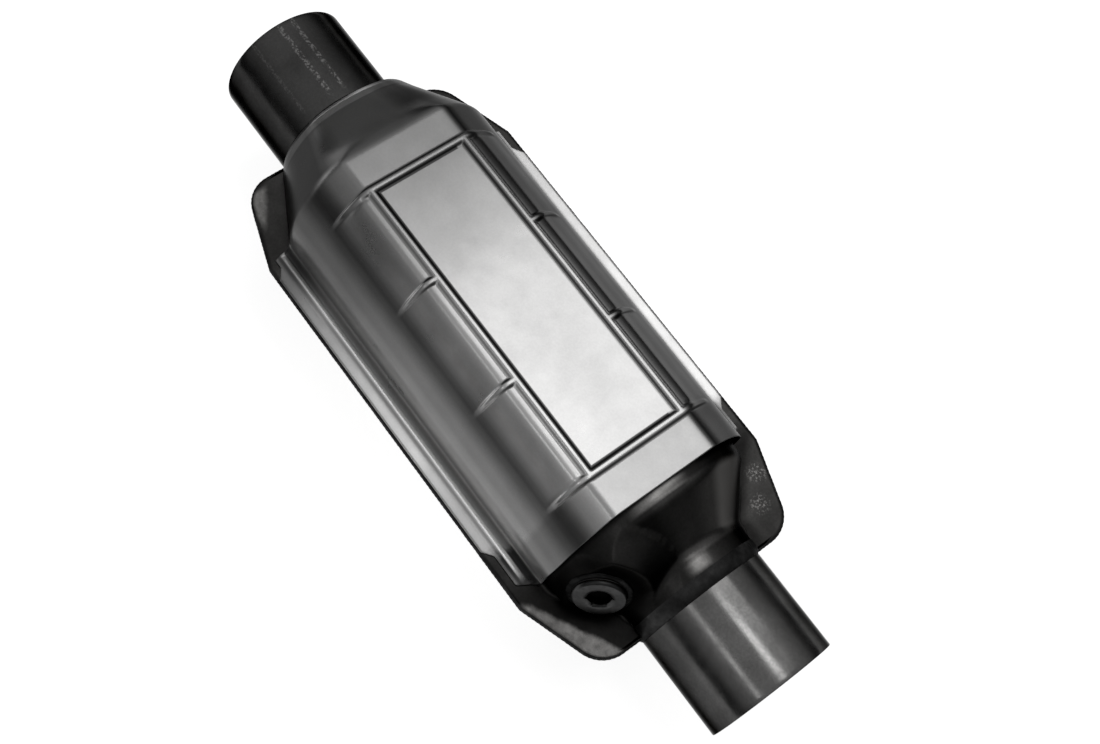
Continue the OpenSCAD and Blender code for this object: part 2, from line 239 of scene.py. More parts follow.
# Camera: turn vector, shift, focal length in pixels, and roll of the picture
CAM_TURN = (-0.344, 0.221, 0.033)
CAM_SHIFT = (-16.114, 8.694, 671.937)
CAM_FOCAL = 1473.15
CAM_ROLL = math.radians(52.46)
CAM_CLIP_M = (0.01, 50)
IMAGE_W = 1100
SENSOR_W = 36

# Lamps: name, place, point that they face, length and width, and radiance of the face
LAMPS = (
    ("key", (-190, 400, 1000), (-190, 400, 0), (640, 560), 0.98),
    ("end", (230, 105, 1000), (230, 105, 0), (320, 190), 1.7),
    ("second", (60, -760, 900), (0, 0, 40), (700, 120), 0.9))

# Floor and the light from around
FLOOR_HALF_M = 3
FLOOR_TONE = 0.9
FLOOR_GLOW = 0.84
WORLD_RISE = (0.05, 0.9)
WORLD_LOW = 0.05
WORLD_HIGH = 0.34


# Curves and grids

def smooth_min(a, b, k):
    """Lesser of two values, with their crossing rounded over k."""
    h = np.maximum(k - np.abs(a - b), 0) / k
    return np.minimum(a, b) - h * h * k / 4


def smooth_max(a, b, k):
    return -smooth_min(-a, -b, k)


def smooth_step(a, b, x):
    """Runs from 0 at a to 1 at b, level at both ends."""
    t = np.clip((x - a) / (b - a), 0, 1)
    return t * t * (3 - 2 * t)


def bent(points, radii, steps=8):
    """Path with its inner corners rounded to the given radii."""
    pts = [np.array(p, float) for p in points]
    out = [pts[0]]
    for i in range(1, len(pts) - 1):
        a, b, c = pts[i - 1], pts[i], pts[i + 1]
        u = (a - b) / np.linalg.norm(a - b)
        w = (c - b) / np.linalg.norm(c - b)
        half = math.acos(float(u @ w)) / 2
        r = radii[i]
        centre = b + (u + w) / np.linalg.norm(u + w) * r / math.sin(half)
        first = b + u * r / math.tan(half) - centre
        last = b + w * r / math.tan(half) - centre
        start = math.atan2(first[1], first[0])
        swing = (math.atan2(last[1], last[0]) - start + 3 * math.pi) % (2 * math.pi) - math.pi
        for k in range(steps + 1):
            t = start + swing * k / steps
            out.append(centre + r * np.array([math.cos(t), math.sin(t)]))
    out.append(pts[-1])
    return np.array(out)


def path_lengths(path):
    """Distance along a path at each of its points."""
    return np.concatenate([[0], np.cumsum(np.linalg.norm(np.diff(path, axis=0), axis=1))])


def resampled(path, distances):
    """Points of a flat path at the given distances along it."""
    length = path_lengths(path)
    return np.stack([np.interp(distances, length, path[:, 0]), np.interp(distances, length, path[:, 1])], 1)


def bent_height(x, points, radii):
    """Height at x of a path with rounded corners."""
    path = bent(points, radii)
    return np.interp(x, path[:, 0], path[:, 1])


def left_of(path):
    """Unit directions square to a flat path, to the left of its run."""
    tangent = np.gradient(path, axis=0)
    tangent /= np.linalg.norm(tangent, axis=1, keepdims=True)
    return np.stack([-tangent[:, 1], tangent[:, 0]], 1)


def spaced(marks, fine, coarse, reach, low, high):
    """Stations from low to high, close together within reach of each mark and wider elsewhere."""
    out = [low]
    while out[-1] < high:
        x = out[-1]
        near = min(abs(x - m) for m in marks)
        step = fine if near < reach else min(coarse, fine + (near - reach) * WIDENING)
        out.append(x + step)
    out[-1] = high
    return np.array(out)


def in_scene(name, data):
    """New object of the scene that shows the given data."""
    obj = bpy.data.objects.new(name, data)
    bpy.context.scene.collection.objects.link(obj)
    return obj


def grid_mesh(name, grids, closed=False):
    """One object from point grids in mm. Closed ones join their last column to their first."""
    verts = []
    faces = []
    base = 0
    for grid in grids:
        rows, cols = grid.shape[:2]
        verts.append(grid.reshape(-1, 3))
        idx = np.arange(rows * cols).reshape(rows, cols) + base
        right = np.roll(idx, -1, axis=1)
        last = cols if closed else cols - 1
        quads = np.stack([idx[:-1, :last], right[:-1, :last], right[1:, :last], idx[1:, :last]], -1)
        faces.append(quads.reshape(-1, 4))
        base += rows * cols
    mesh = bpy.data.meshes.new(name)
    mesh.from_pydata(np.concatenate(verts) * MM, [], np.concatenate(faces))
    mesh.validate()
    return weld_close(in_scene(name, mesh))


def weld_close(obj, distance=0.01):
    """Joins the coincident points of a piece and turns its faces outwards."""
    bm = bmesh.new()
    bm.from_mesh(obj.data)
    bmesh.ops.remove_doubles(bm, verts=bm.verts, dist=distance * MM)
    bmesh.ops.dissolve_degenerate(bm, edges=bm.edges, dist=distance * MM * 0.1)
    bmesh.ops.recalc_face_normals(bm, faces=bm.faces)
    bm.to_mesh(obj.data)
    bm.free()
    obj.data.shade_smooth()
    return obj


def sharpen(obj, degrees):
    """Shades the edges sharp that are folded by more than an angle."""
    obj.data.set_sharp_from_angle(angle=math.radians(degrees))
    return obj


def grid_normals(grid):
    """Unit normals of an open grid of points."""
    n = np.cross(np.gradient(grid, axis=0), np.gradient(grid, axis=1))
    return n / (np.linalg.norm(n, axis=2, keepdims=True) + 1e-12)


def outer_normals(grid, side=1):
    """Normals of a grid that faces up, or down where side is -1."""
    n = grid_normals(grid)
    return n * np.sign((n[:, grid.shape[1] // 2, 2] * side).mean())


def wobble(grid, n, amount, size, seed):
    """Moves points along n by a slow noise, as pressed sheet is never quite even."""
    flat = grid.reshape(-1, 3)
    shift = np.array([noise.noise(Vector((p[0] / size + seed, p[1] / size, p[2] / size))) for p in flat])
    return grid + n * (shift * amount).reshape(grid.shape[:2])[..., None]


def end_strips(outer, inner):
    """Strips that close two matching grids along their first and last rows."""
    return [np.stack([outer[row], inner[row]]) for row in (0, -1)]


def adopt(obj, look, node):
    """Gives a piece its look in a slot and its body, and hides the node that it stands for."""
    obj.data.materials.append(looks[look])
    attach(obj, "root")
    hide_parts(node)


# Shapes of the heat shields

def flat_height():
    """Height of the body's flat top over the centre of its arc."""
    return math.sqrt(SHIELD_R ** 2 - FLAT_HALF ** 2)


def shield_radius(x):
    points = [(LIP_X, LIP_R), (COLLAR_X, COLLAR_R), (CONE_X, SHIELD_R), (CUT_X, SHIELD_R)]
    return bent_height(x, points, [0, COLLAR_BEND, COLLAR_BEND, 0])


def shield_top(x):
    """Height of the flat top over the shield's arc centre."""
    flat = flat_height()
    slope = (flat - COLLAR_R) / (CONE_X - COLLAR_X)
    points = [(LIP_X, flat - slope * (CONE_X - LIP_X)), (CONE_X, flat), (CUT_X, flat)]
    return bent_height(x, points, [0, TOP_BEND, 0])


def rib_profile(distance, crest, foot):
    return 1 - smooth_step(crest, foot, distance)


def rib_height(x, y):
    """Height of the pressed ribs over the sheet, at places x and y."""
    middle = (RIB_STATIONS[0] + RIB_STATIONS[-1]) / 2
    qx = np.abs(x - middle) - (RIB_STATIONS[-1] - RIB_STATIONS[0]) / 2
    qy = np.abs(y) - RIB_Y
    outside = np.hypot(np.maximum(qx, 0), np.maximum(qy, 0))
    border = np.abs(outside + np.minimum(np.maximum(qx, qy), 0))
    h = rib_profile(border, RIB_CREST, RIB_FOOT)
    down = np.clip(qy / (SIDE_RIB_END - RIB_Y), 0, 1)
    crest = RIB_CREST * (1 - CREST_LOSS * down)
    foot = RIB_FOOT * (1 - FOOT_LOSS * down)
    fade = (1 - HEIGHT_LOSS * down) * (1 - smooth_step(SIDE_RIB_END - RIB_RUNOUT, SIDE_RIB_END, np.abs(y)))
    for station in RIB_STATIONS:
        side = rib_profile(np.abs(x - station), crest, foot) * fade * (qy > 0)
        h = np.maximum(h, side)
    return RIB_H * h


def shield_dome(xs, phi):
    """Round part of a shield with its flat top and its ribs, at stations xs and angles phi."""
    r = shield_radius(xs)[:, None]
    least_cos = 0.05
    flat = shield_top(xs)[:, None] / np.maximum(np.cos(phi), least_cos)[None]
    fold = (FOLD + FOLD_ON_CONE * smooth_step(-CONE_X, FOLD_RUN - CONE_X, -xs))[:, None]
    rho = smooth_min(r, flat, fold)
    angle = np.degrees(np.abs(phi))
    swell = BAY_SWELL * smooth_step(*SWELL_IN, angle) * (1 - smooth_step(*SWELL_OUT, angle))
    full = smooth_min(r + swell[None], flat, FOLD)
    in_bays = smooth_step(*BAY_EDGE, xs - RIB_STATIONS[0]) * smooth_step(*BAY_EDGE, RIB_STATIONS[-1] - xs)
    rho = rho + (full - rho) * in_bays[:, None]
    stations = np.repeat(xs[:, None], len(phi), 1)
    dome = np.stack([stations, rho * np.sin(phi)[None], SHIELD_LIFT + rho * np.cos(phi)[None]], -1)
    return dome + outer_normals(dome) * rib_height(stations, dome[..., 1])[..., None]


def shield_foot(xs, side):
    """Foot of one side of a shield: wall, ledge, bead and strip, and a plain wall on the cone."""
    r = shield_radius(xs)[:, None]
    start, end = STRIP_ENDS[side]
    bead_on = (smooth_step(*BEAD_IN, xs) * (1 - smooth_step(*BEAD_OUT, xs)))[:, None]
    out_on = (smooth_step(*LEDGE_IN, xs) * (1 - smooth_step(*LEDGE_OUT, xs) * LEDGE_LOSS))[:, None]
    strip_on = np.clip((xs - start) / STRIP_SLANT + 1, 0, 1) * np.clip((end - xs) / STRIP_SLANT + 1, 0, 1)
    wall_z = np.linspace(FOOT_TOP, LEDGE_Z + LEDGE_ROUND, 4)[None]
    wall = np.stack([r + 0 * wall_z, wall_z + 0 * r], -1)
    turn = np.linspace(math.pi, 1.5 * math.pi, 7)[1:][None]
    fillet_z = LEDGE_Z + LEDGE_ROUND * (1 + np.sin(turn))
    fillet = np.stack([r + LEDGE_ROUND * (1 + np.cos(turn)), fillet_z + 0 * r], -1)
    across = np.linspace(*BEAD_REACH, 14)[None]
    swell = BEAD_HIGH * np.exp(-(across / BEAD_HALF) ** 2)
    bead = np.stack([BEAD_Y + across + 0 * r, LEDGE_Z + swell * bead_on], -1)
    inner = BEAD_Y + BEAD_REACH[1]
    width = (STRIP_LEAST + (STRIP_EDGE - inner - STRIP_LEAST) * strip_on)[:, None]
    share, drop = np.array(STRIP_SECTION).T
    strip = np.stack([inner + share[None] * width, LEDGE_Z - drop[None] + 0 * r], -1)
    wide = np.concatenate([wall, fillet, bead, strip], 1)
    count = wide.shape[1]
    plain_z = np.linspace(FOOT_TOP, SHELL_WALL, count)[None]
    plain = np.stack([r + FOOT_FLARE * np.arange(count)[None], plain_z + 0 * r], -1)
    section = plain + (wide - plain) * out_on[..., None]
    stations = np.repeat(xs[:, None], count, 1)
    return np.stack([stations, side * section[..., 0], section[..., 1]], -1)


def shield_outer(side):
    """Points of a shield's outer face: rows along the axis, columns across the top."""
    marks = list(RIB_STATIONS) + [CONE_X, COLLAR_X, BEAD_TO]
    for start, end in STRIP_ENDS.values():
        marks += [start - STRIP_SLANT, start, end, end + STRIP_SLANT]
    xs = spaced(marks, *SHIELD_STEPS, LIP_X, CUT_X)
    fold = math.degrees(math.atan2(FLAT_HALF, flat_height()))
    turn_marks = [s * turn for turn in (fold, fold - FOLD_BAND, SHIELD_TURN_MARK) for s in (1, -1)]
    phi = np.radians(spaced(turn_marks, *SHIELD_TURN_STEPS, -90, 90))
    grid = np.concatenate([shield_foot(xs, -1)[:, ::-1], shield_dome(xs, phi), shield_foot(xs, 1)], 1)
    near_end = smooth_step(CUT_X - END_LEAN_RUN, CUT_X, grid[..., 0])
    grid[..., 0] -= END_LEAN * near_end * (1 - smooth_step(*END_LEAN_HEIGHTS, grid[..., 2]))
    grid[..., 2] *= side
    return grid


def heat_shield(name, side, seed):
    """Pressed sheet of a heat shield, closed along all its edges."""
    outer = shield_outer(side)
    n = outer_normals(outer, side)
    outer = wobble(outer, n, *SHIELD_WOBBLE, seed)
    inner = outer - n * SHIELD_WALL
    for skin in (inner, outer):
        skin[..., 2] = side * np.maximum(skin[..., 2] * side, SHELL_WALL)
    rims = end_strips(outer, inner) + end_strips(outer.swapaxes(0, 1), inner.swapaxes(0, 1))
    return grid_mesh(name, [outer, inner] + rims)


# Shapes of the shell

def shell_radius(x):
    """Outer radius of the round body, its cones and its necks."""
    points = [(BODY_HALF, SHELL_R), (CONE_END, NECK_R), (NECK_END, NECK_R)]
    points = [(-x, r) for x, r in reversed(points)] + points
    return bent_height(x, points, [0, NECK_BEND, SHOULDER_BEND, SHOULDER_BEND, NECK_BEND, 0])


def port_frame():
    """Origin of the sensor port on the cone, and its two directions in the seat and one out of it."""
    slope = math.atan2(SHELL_R - NECK_R, CONE_END - BODY_HALF)
    r = SHELL_R + (NECK_R - SHELL_R) * (PORT_X - BODY_HALF) / (CONE_END - BODY_HALF)
    turn = Matrix.Rotation(PORT_TURN, 3, "X")
    m = turn @ Matrix.Rotation(slope, 3, "Y")
    origin = turn @ Vector((PORT_X, 0, r))
    return np.array(origin), np.array(m.col[0]), np.array(m.col[1]), np.array(m.col[2])


def press_seat(p):
    """Raises the points of the cone to the pressed seat of the sensor port."""
    o, u, v, w = port_frame()
    rel = p - o
    height = rel @ w
    reach = np.hypot(rel @ u, rel @ v)
    target = SEAT_RISE - np.maximum(reach - SEAT_R, 0) * SEAT_DEPTH / SEAT_SKIRT
    near = (height > -PORT_DEPTH) & (reach < PORT_REACH)
    lifted = np.where(near, smooth_max(height, target, SEAT_BLEND) - SEAT_SINK, height)
    out = p + (lifted - height)[..., None] * w
    radius = np.hypot(out[..., 1], out[..., 2])
    k = np.minimum(1, SHELL_R / np.maximum(radius, 1e-6))
    out[..., 1:] *= k[..., None]
    return out


def ear_path():
    """Outline of one side of the flanges, from ear to ear."""
    corner = FLANGE_HALF - EAR_NARROWING
    points = [(0, FLANGE_HALF), (EAR_FROM, FLANGE_HALF), (EAR_END, corner), (EAR_END, NECK_R + PLATE_GAP)]
    quarter = bent(points, [0, EAR_CORNER, EAR_ROUND, 0], 10)
    left = quarter[:0:-1] * np.array([-1, 1])
    path = np.concatenate([left, quarter[1:]])
    return resampled(path, np.linspace(0, path_lengths(path)[-1], EAR_POINTS))


def shell_foot(xs, r):
    """Angle at which the wall of a half shell ends, and its foot, bent out on to the plate."""
    runout = smooth_step(NECK_END - FOOT_BEND_RUNOUT, NECK_END, np.abs(xs))
    bend = (FOOT_BEND_LEAST + (FOOT_BEND - FOOT_BEND_LEAST) * (1 - runout))[:, None]
    centre_y = np.sqrt((r + bend) ** 2 - (SHELL_WALL + bend) ** 2)
    last = np.arctan2(centre_y, SHELL_WALL + bend)
    turn = math.pi + last * (1 - np.linspace(0.15, 1, 7)[None])
    bend_y = centre_y + bend * np.sin(turn)
    bend_z = SHELL_WALL + bend + bend * np.cos(turn)
    # two more columns lead on along the plate and down into it
    run = np.array([0.6, 1.5])[None]
    sink = np.array([-0.02, FOOT_SINK - 0.02])[None]
    y = np.concatenate([bend_y, centre_y + run], 1)
    z = np.concatenate([bend_z, SHELL_WALL - sink + 0 * centre_y], 1)
    stations = np.repeat(xs[:, None], y.shape[1], 1)
    return last, np.stack([stations, y, z], -1)


def flange_plate(edge, side):
    """Half of a flange with a slightly rounded edge, from the shell's foot to the given outline."""
    on_shell = np.abs(edge[:, 0]) < NECK_END
    near = np.where(on_shell, shell_radius(edge[:, 0]) - PLATE_LAP, NECK_R + PLATE_GAP)
    inside = np.stack([edge[:, 0], np.minimum(near, edge[:, 1] - 0.01)], 1)
    out = left_of(edge)
    rows = []
    for share, shift, z in PLATE_SECTION:
        q = inside + (edge - inside) * share + out * shift
        rows.append(np.stack([q[:, 0], side * q[:, 1], np.full(len(q), z)], -1))
    return np.stack(rows)


def shell_half(name, side, with_port, seed):
    """One half of the shell as two skins closed at the ends, with its flange plates."""
    marks = [-NECK_END, -CONE_END, -BODY_HALF, BODY_HALF, CONE_END, NECK_END] + SHELL_PORT_MARKS
    xs = spaced(marks, *SHELL_STEPS, -NECK_END, NECK_END)
    r = shell_radius(xs)[:, None]
    last, right = shell_foot(xs, r)
    phi = np.linspace(-1, 1, SHELL_COLUMNS)[None] * last
    stations = np.repeat(xs[:, None], SHELL_COLUMNS, 1)
    dome = np.stack([stations, r * np.sin(phi), r * np.cos(phi)], -1)
    if with_port:
        dome = press_seat(dome)
    left = right[:, ::-1] * np.array([1, -1, 1])
    outer = np.concatenate([left, dome, right], 1)
    outer[..., 2] = np.maximum(outer[..., 2], SHELL_WALL - FOOT_SINK)
    outer = wobble(outer, outer_normals(outer), *SHELL_WOBBLE, seed)
    radius = np.maximum(np.hypot(outer[..., 1], outer[..., 2]), 1)[..., None]
    inner = outer - outer * np.array([0, 1, 1]) / radius * SHELL_WALL
    edge = ear_path()
    grids = [outer, inner] + end_strips(outer, inner) + [flange_plate(edge, 1), flange_plate(edge, -1)]
    for grid in grids:
        grid[..., 2] *= side
    return sharpen(grid_mesh(name, grids), SHELL_CREASE)


def flange_weld(name, side, seed):
    """Rippled bead along the edges of both flanges on one side."""
    edge = ear_path()
    s = np.arange(0, path_lengths(edge)[-1], SEAM_STEP)
    path = resampled(edge, s)
    out = left_of(path)
    wave = np.array([noise.noise(Vector((q / SEAM_WAVE_LEN, seed, 0))) for q in s])
    ripple = SEAM_RIPPLE * np.sin(s * 2 * math.pi / SEAM_RIPPLE_LEN) + SEAM_UNEVEN * wave
    rows = []
    for a in np.linspace(-math.pi / 2, math.pi / 2, 11):
        reach = SEAM_W * (math.cos(a) ** SEAM_FULLNESS) * (1 + ripple) - SEAM_SINK
        z = SEAM_HALF * math.sin(a) * (1 + SEAM_RIPPLE_HIGH * ripple)
        q = path + out * reach[:, None]
        rows.append(np.stack([q[:, 0], side * q[:, 1], z], -1))
    return grid_mesh(name, [np.stack(rows)])


# Round pieces

def circle(count):
    return np.linspace(0, 2 * math.pi, count, endpoint=False)


def round_noise(angles, size, seed):
    """Slow noise that closes on itself round a circle."""
    return np.array([noise.noise(Vector((size * math.cos(q), size * math.sin(q), seed))) for q in angles])


def ring(axes, angles, radius, height):
    """Points round an axis, which is given as an origin and three directions."""
    o, u, v, w = axes
    away = np.cos(angles)[:, None] * u + np.sin(angles)[:, None] * v
    return o + (radius + 0 * angles)[:, None] * away + (height + 0 * angles)[:, None] * w


def lathe(name, profile, axes, segments=128):
    """Revolves (radius, height) pairs round an axis. A radius may be given at each angle of the circle."""
    angles = circle(segments)
    rows = [ring(axes, angles, radius, height) for radius, height in profile]
    return sharpen(grid_mesh(name, [np.stack(rows)], closed=True), 40)


def x_frame(sign):
    """Axes of a round piece along X, towards the outlet where sign is 1."""
    return np.zeros(3), np.array([0, 1, 0]), np.array([0, 0, 1]) * sign, np.array([sign * 1, 0, 0])


def pipe_piece(name, sign):
    """Pipe stub whose inner end is sized down to fit the neck."""
    bore = PIPE_R - PIPE_WALL
    sized = NECK_END + WELD_LEN
    edge = 0.3 * RIM_OUTSIDE
    profile = [
        (bore, PIPE_INNER_END), (SIZED_R, PIPE_INNER_END), (SIZED_R, sized - SIZED_STEP), (PIPE_R, sized),
        *[(PIPE_R, x) for x in np.linspace(sized + 1, PIPE_END - RIM_OUTSIDE, 24)],
        (PIPE_R - edge, PIPE_END - edge), (PIPE_R - RIM_OUTSIDE, PIPE_END),
        (bore + RIM_INSIDE, PIPE_END), (bore, PIPE_END - RIM_INSIDE),
        *[(bore, x) for x in np.linspace(PIPE_END - 2, PIPE_INNER_END, 12)]]
    return lathe(name, profile, x_frame(sign), 160)


def neck_weld(name, sign, seed):
    """Flat rippled bead that covers the end of a neck, round the pipe."""
    angles = circle(400)
    ragged = WELD_RAGGED * round_noise(angles, 4, seed + 9)
    foot = SIZED_R + WELD_FILM
    rows = []
    for t in np.linspace(0, 1, 14):
        crown = math.sin(math.pi * min(1, WELD_CROWN_START + t)) ** WELD_FULLNESS
        uneven = WELD_CROWN + WELD_UNEVEN * round_noise(angles, 5, seed + 1.5 * t)
        radius = foot + (NECK_R - foot) * (1 - t ** 3) + uneven * crown
        x = NECK_END - WELD_LAP + (WELD_LEN + WELD_LAP + ragged) * t
        rows.append(ring(x_frame(sign), angles, radius, x))
    return grid_mesh(name, [np.stack(rows)], closed=True)


def bung_piece():
    """Ring that is welded into the seat, with chamfers at its top."""
    low = SEAT_RISE - BUNG_DEPTH
    top_edge = BUNG_TOP - BUNG_CHAMFER
    profile = [
        (BUNG_BORE_R, low), (BUNG_R, low), (BUNG_R, top_edge), (BUNG_R - BUNG_CHAMFER, BUNG_TOP),
        (BUNG_BORE_R + BORE_CHAMFER, BUNG_TOP), (BUNG_BORE_R, top_edge), (BUNG_BORE_R, low)]
    return lathe("bung_ring", profile, port_frame())


def bung_bead(seed):
    """Rippled fillet bead round the bung, on the seat."""
    angles = circle(360)
    wave = round_noise(angles, 3, seed)
    ripple = BEAD_RIPPLE * np.sin(angles * BEAD_RIPPLES)
    rows = []
    for a in np.linspace(0, math.pi / 2, 9):
        radius = BUNG_R + BEAD_W * math.cos(a) * (1 + BEAD_UNEVEN * wave + ripple)
        height = SEAT_RISE + BEAD_RISE * math.sin(a) * (1 + BEAD_UNEVEN_HIGH * wave + ripple)
        rows.append(ring(port_frame(), angles, radius, height))
    return grid_mesh("bung_bead", [np.stack(rows)], closed=True)


def washer_piece():
    """Soft washer between bung and plug, squeezed out a little at half its height."""
    middle = (BUNG_TOP + GASKET_TOP) / 2
    profile = [
        (BUNG_BORE_R, BUNG_TOP), (GASKET_R, BUNG_TOP), (GASKET_R + GASKET_BULGE, middle),
        (GASKET_R, GASKET_TOP), (BUNG_BORE_R, GASKET_TOP), (BUNG_BORE_R, BUNG_TOP)]
    return lathe("washer_ring", profile, port_frame())


def plug_piece():
    """Plug with a chamfered round head, a six-sided socket and a plain shank."""
    angles = circle(144)
    sixth = (angles + math.pi / 6) % (math.pi / 3) - math.pi / 6
    hexagon = SOCKET_W / 2 / np.cos(sixth)
    shank_end = GASKET_TOP - SHANK_LEN
    edge = PLUG_TOP - PLUG_CHAMFER
    profile = [
        (PLUG_AXIS_R, shank_end), (SHANK_R - PLUG_CHAMFER, shank_end),
        (SHANK_R, shank_end + PLUG_CHAMFER), (SHANK_R, GASKET_TOP),
        (PLUG_R - PLUG_UNDERCUT, GASKET_TOP), (PLUG_R, GASKET_TOP + PLUG_UNDERCUT),
        (PLUG_R, edge - PLUG_ROUND), (PLUG_R - 0.8 * PLUG_ROUND, edge),
        (PLUG_R - PLUG_CHAMFER + PLUG_ROUND, PLUG_TOP - 0.6 * PLUG_ROUND),
        (PLUG_R - PLUG_CHAMFER - PLUG_ROUND, PLUG_TOP)]
    for radius, depth, six_sided in SOCKET_SECTION:
        profile.append((radius * (1 - six_sided) + hexagon * six_sided, PLUG_TOP - depth))
    return lathe("port_plug", profile, port_frame(), 144)


# Materials

def grey(v):
    return (v, v, v, 1)


class Nodes:
    """Short forms for building a node tree from an empty one."""

    def __init__(self, owner):
        owner.use_nodes = True
        self.tree = owner.node_tree
        self.tree.nodes.clear()

    def add(self, kind, sockets=(), **values):
        """New node with values, and with numbers or links at its sockets."""
        n = self.tree.nodes.new(kind)
        for key, value in values.items():
            setattr(n, key, value)
        for key, value in dict(sockets).items():
            self.put(n.inputs[key], value)
        return n

    def link(self, a, b):
        self.tree.links.new(a, b)

    def put(self, socket, value):
        """Sets a socket to a number, or links it to another socket."""
        if isinstance(value, (int, float, tuple)):
            socket.default_value = value
        else:
            self.link(value, socket)

    def noise(self, scale, detail=4, rough=0.55):
        place = self.add("ShaderNodeTexCoord").outputs["Object"]
        sockets = {"Vector": place, "Scale": scale, "Detail": detail, "Roughness": rough}
        return self.add("ShaderNodeTexNoise", sockets).outputs["Fac"]

    def uneven(self, amount, scale, detail, rough):
        """Noise that swings by half the amount to each side of zero."""
        return self.times(self.minus(self.noise(scale, detail, rough), 0.5), amount)

    def ramp(self, value, low, high, to_low=0, to_high=1, kind="SMOOTHSTEP"):
        """Runs from one level to another as a value goes from low to high, or from high to low."""
        sockets = {"Value": value, "From Min": low, "From Max": high, "To Min": to_low, "To Max": to_high}
        return self.add("ShaderNodeMapRange", sockets, interpolation_type=kind).outputs["Result"]

    def curve(self, value, stops):
        """Value that runs through (place, level) stops, with places from 0 to 1."""
        n = self.add("ShaderNodeValToRGB", {"Fac": value})
        ramp = n.color_ramp
        ramp.elements[0].position, ramp.elements[1].position = stops[0][0], stops[-1][0]
        ramp.elements[0].color, ramp.elements[1].color = grey(stops[0][1]), grey(stops[-1][1])
        for place, level in stops[1:-1]:
            ramp.elements.new(place).color = grey(level)
        return n.outputs["Color"]

    def spread(self, value, stops):
        """A curve whose stops are given at values of any size."""
        low, high = stops[0][0], stops[-1][0]
        share = self.ramp(value, low, high, kind="LINEAR")
        return self.curve(share, [((at - low) / (high - low), level) for at, level in stops])

    def math(self, op, *values):
        return self.add("ShaderNodeMath", enumerate(values), operation=op).outputs["Value"]

    def plus(self, a, b):
        return self.math("ADD", a, b)

    def minus(self, a, b):
        return self.math("SUBTRACT", a, b)

    def most(self, a, b):
        return self.math("MAXIMUM", a, b)

    def size(self, a):
        return self.math("ABSOLUTE", a)

    def times(self, *values):
        out = values[0]
        for v in values[1:]:
            out = self.math("MULTIPLY", out, v)
        return out

    def mix(self, share, a, b):
        sockets = {"Factor": share, "A": a, "B": b}
        return self.add("ShaderNodeMix", sockets, data_type="FLOAT").outputs["Result"]

    def scaled(self, level, mask, share):
        """A level that is multiplied by share where the mask is one."""
        return self.times(level, self.mix(mask, 1, share))

    def place(self):
        """Position in mm."""
        place = self.add("ShaderNodeTexCoord").outputs["Object"]
        mm = self.add("ShaderNodeVectorMath", {0: place, "Scale": 1 / MM}, operation="SCALE")
        return self.add("ShaderNodeSeparateXYZ", {0: mm.outputs["Vector"]}).outputs.values()

    def normal(self):
        """Direction in which a face looks, by its parts."""
        normal = self.add("ShaderNodeNewGeometry").outputs["Normal"]
        return self.add("ShaderNodeSeparateXYZ", {0: normal}).outputs

    def upright(self):
        """How far a face looks up or down, a little less on the side away from the port."""
        normal = self.normal()
        return self.minus(self.size(normal["Z"]), self.times(normal["Y"], FAR_SIDE_LOSS))

    def facing(self, turn, skip):
        """How far a face looks in a direction turned about the long axis, or one where skip is one."""
        normal = self.normal()
        down = self.times(normal["Y"], self.math("SINE", turn))
        up = self.times(self.size(normal["Z"]), self.math("COSINE", turn))
        return self.most(self.minus(up, down), skip)

    def inside(self, value, low, high, soft):
        """One between low and high, falling to zero over soft on each side."""
        return self.times(self.ramp(value, low - soft, low), self.ramp(value, high, high + soft, 1, 0))

    def area(self, at, edges):
        """One where a place is inside all edges, each given as a measure and its values."""
        masks = []
        for measure, *edge in edges:
            mask = self.inside if len(edge) == 3 else self.ramp
            masks.append(mask(at[measure], *edge))
        return self.times(*masks)

    def measures(self, lift=0):
        """Place in mm, height, distance across, and turn and degrees round an axis at a height of lift."""
        x, y, z = self.place()
        at = {"x": x, "y": y, "z": z, "height": self.size(z), "across": self.size(y)}
        at["turn"] = self.math("ARCTAN2", self.times(y, -1), self.minus(at["height"] if lift else z, lift))
        at["degrees"] = self.times(at["turn"], 180 / math.pi)
        return at

    def spot(self, at, centre, radius, soft):
        """One within radius of a point in mm."""
        place = self.add("ShaderNodeCombineXYZ", enumerate((at["x"], at["y"], at["z"]))).outputs["Vector"]
        away = self.add("ShaderNodeVectorMath", {0: place, 1: tuple(centre)}, operation="DISTANCE")
        return self.ramp(away.outputs["Value"], radius, radius + soft, 1, 0)

    def show(self, surface, kind="ShaderNodeOutputMaterial"):
        """Makes a shader what the tree shows."""
        self.add(kind, {"Surface": surface})


def paint(kit, shader, tone, warmth):
    """Sets the base colour to a grey level, a little warmer than neutral."""
    green = kit.times(tone, 1 - warmth)
    sockets = {"Red": tone, "Green": green, "Blue": kit.times(tone, 1 - BLUE_SHARE * warmth)}
    kit.put(shader.inputs["Base Color"], kit.add("ShaderNodeCombineColor", sockets).outputs["Color"])


def finish(kit, height, bump_mm, strength, rough, tint, metal):
    """Shader of a metal surface with its bump, shown by the material."""
    sockets = {"Height": height, "Strength": strength, "Distance": bump_mm * MM}
    normal = kit.add("ShaderNodeBump", sockets).outputs["Normal"]
    sockets = {"Normal": normal, "Roughness": rough, "Metallic": metal, "Specular Tint": grey(tint)}
    shader = kit.add("ShaderNodeBsdfPrincipled", sockets)
    kit.show(shader.outputs["BSDF"])
    return shader


# Edges of marks are a measure with two values, where the mark begins and where it is full, and with two
# more for its levels there, or with three, which are the band that it fills and how softly it ends.
# Values for a noise are its scale, detail and roughness.

# Share of its tone that steel keeps, by how far the face looks up: painted shade that darkens the flanks
FLANK_SHADE = ((0, 0.22), (0.62, 0.16), (0.72, 0.24), (0.80, 0.62), (0.86, 1), (1, 1))
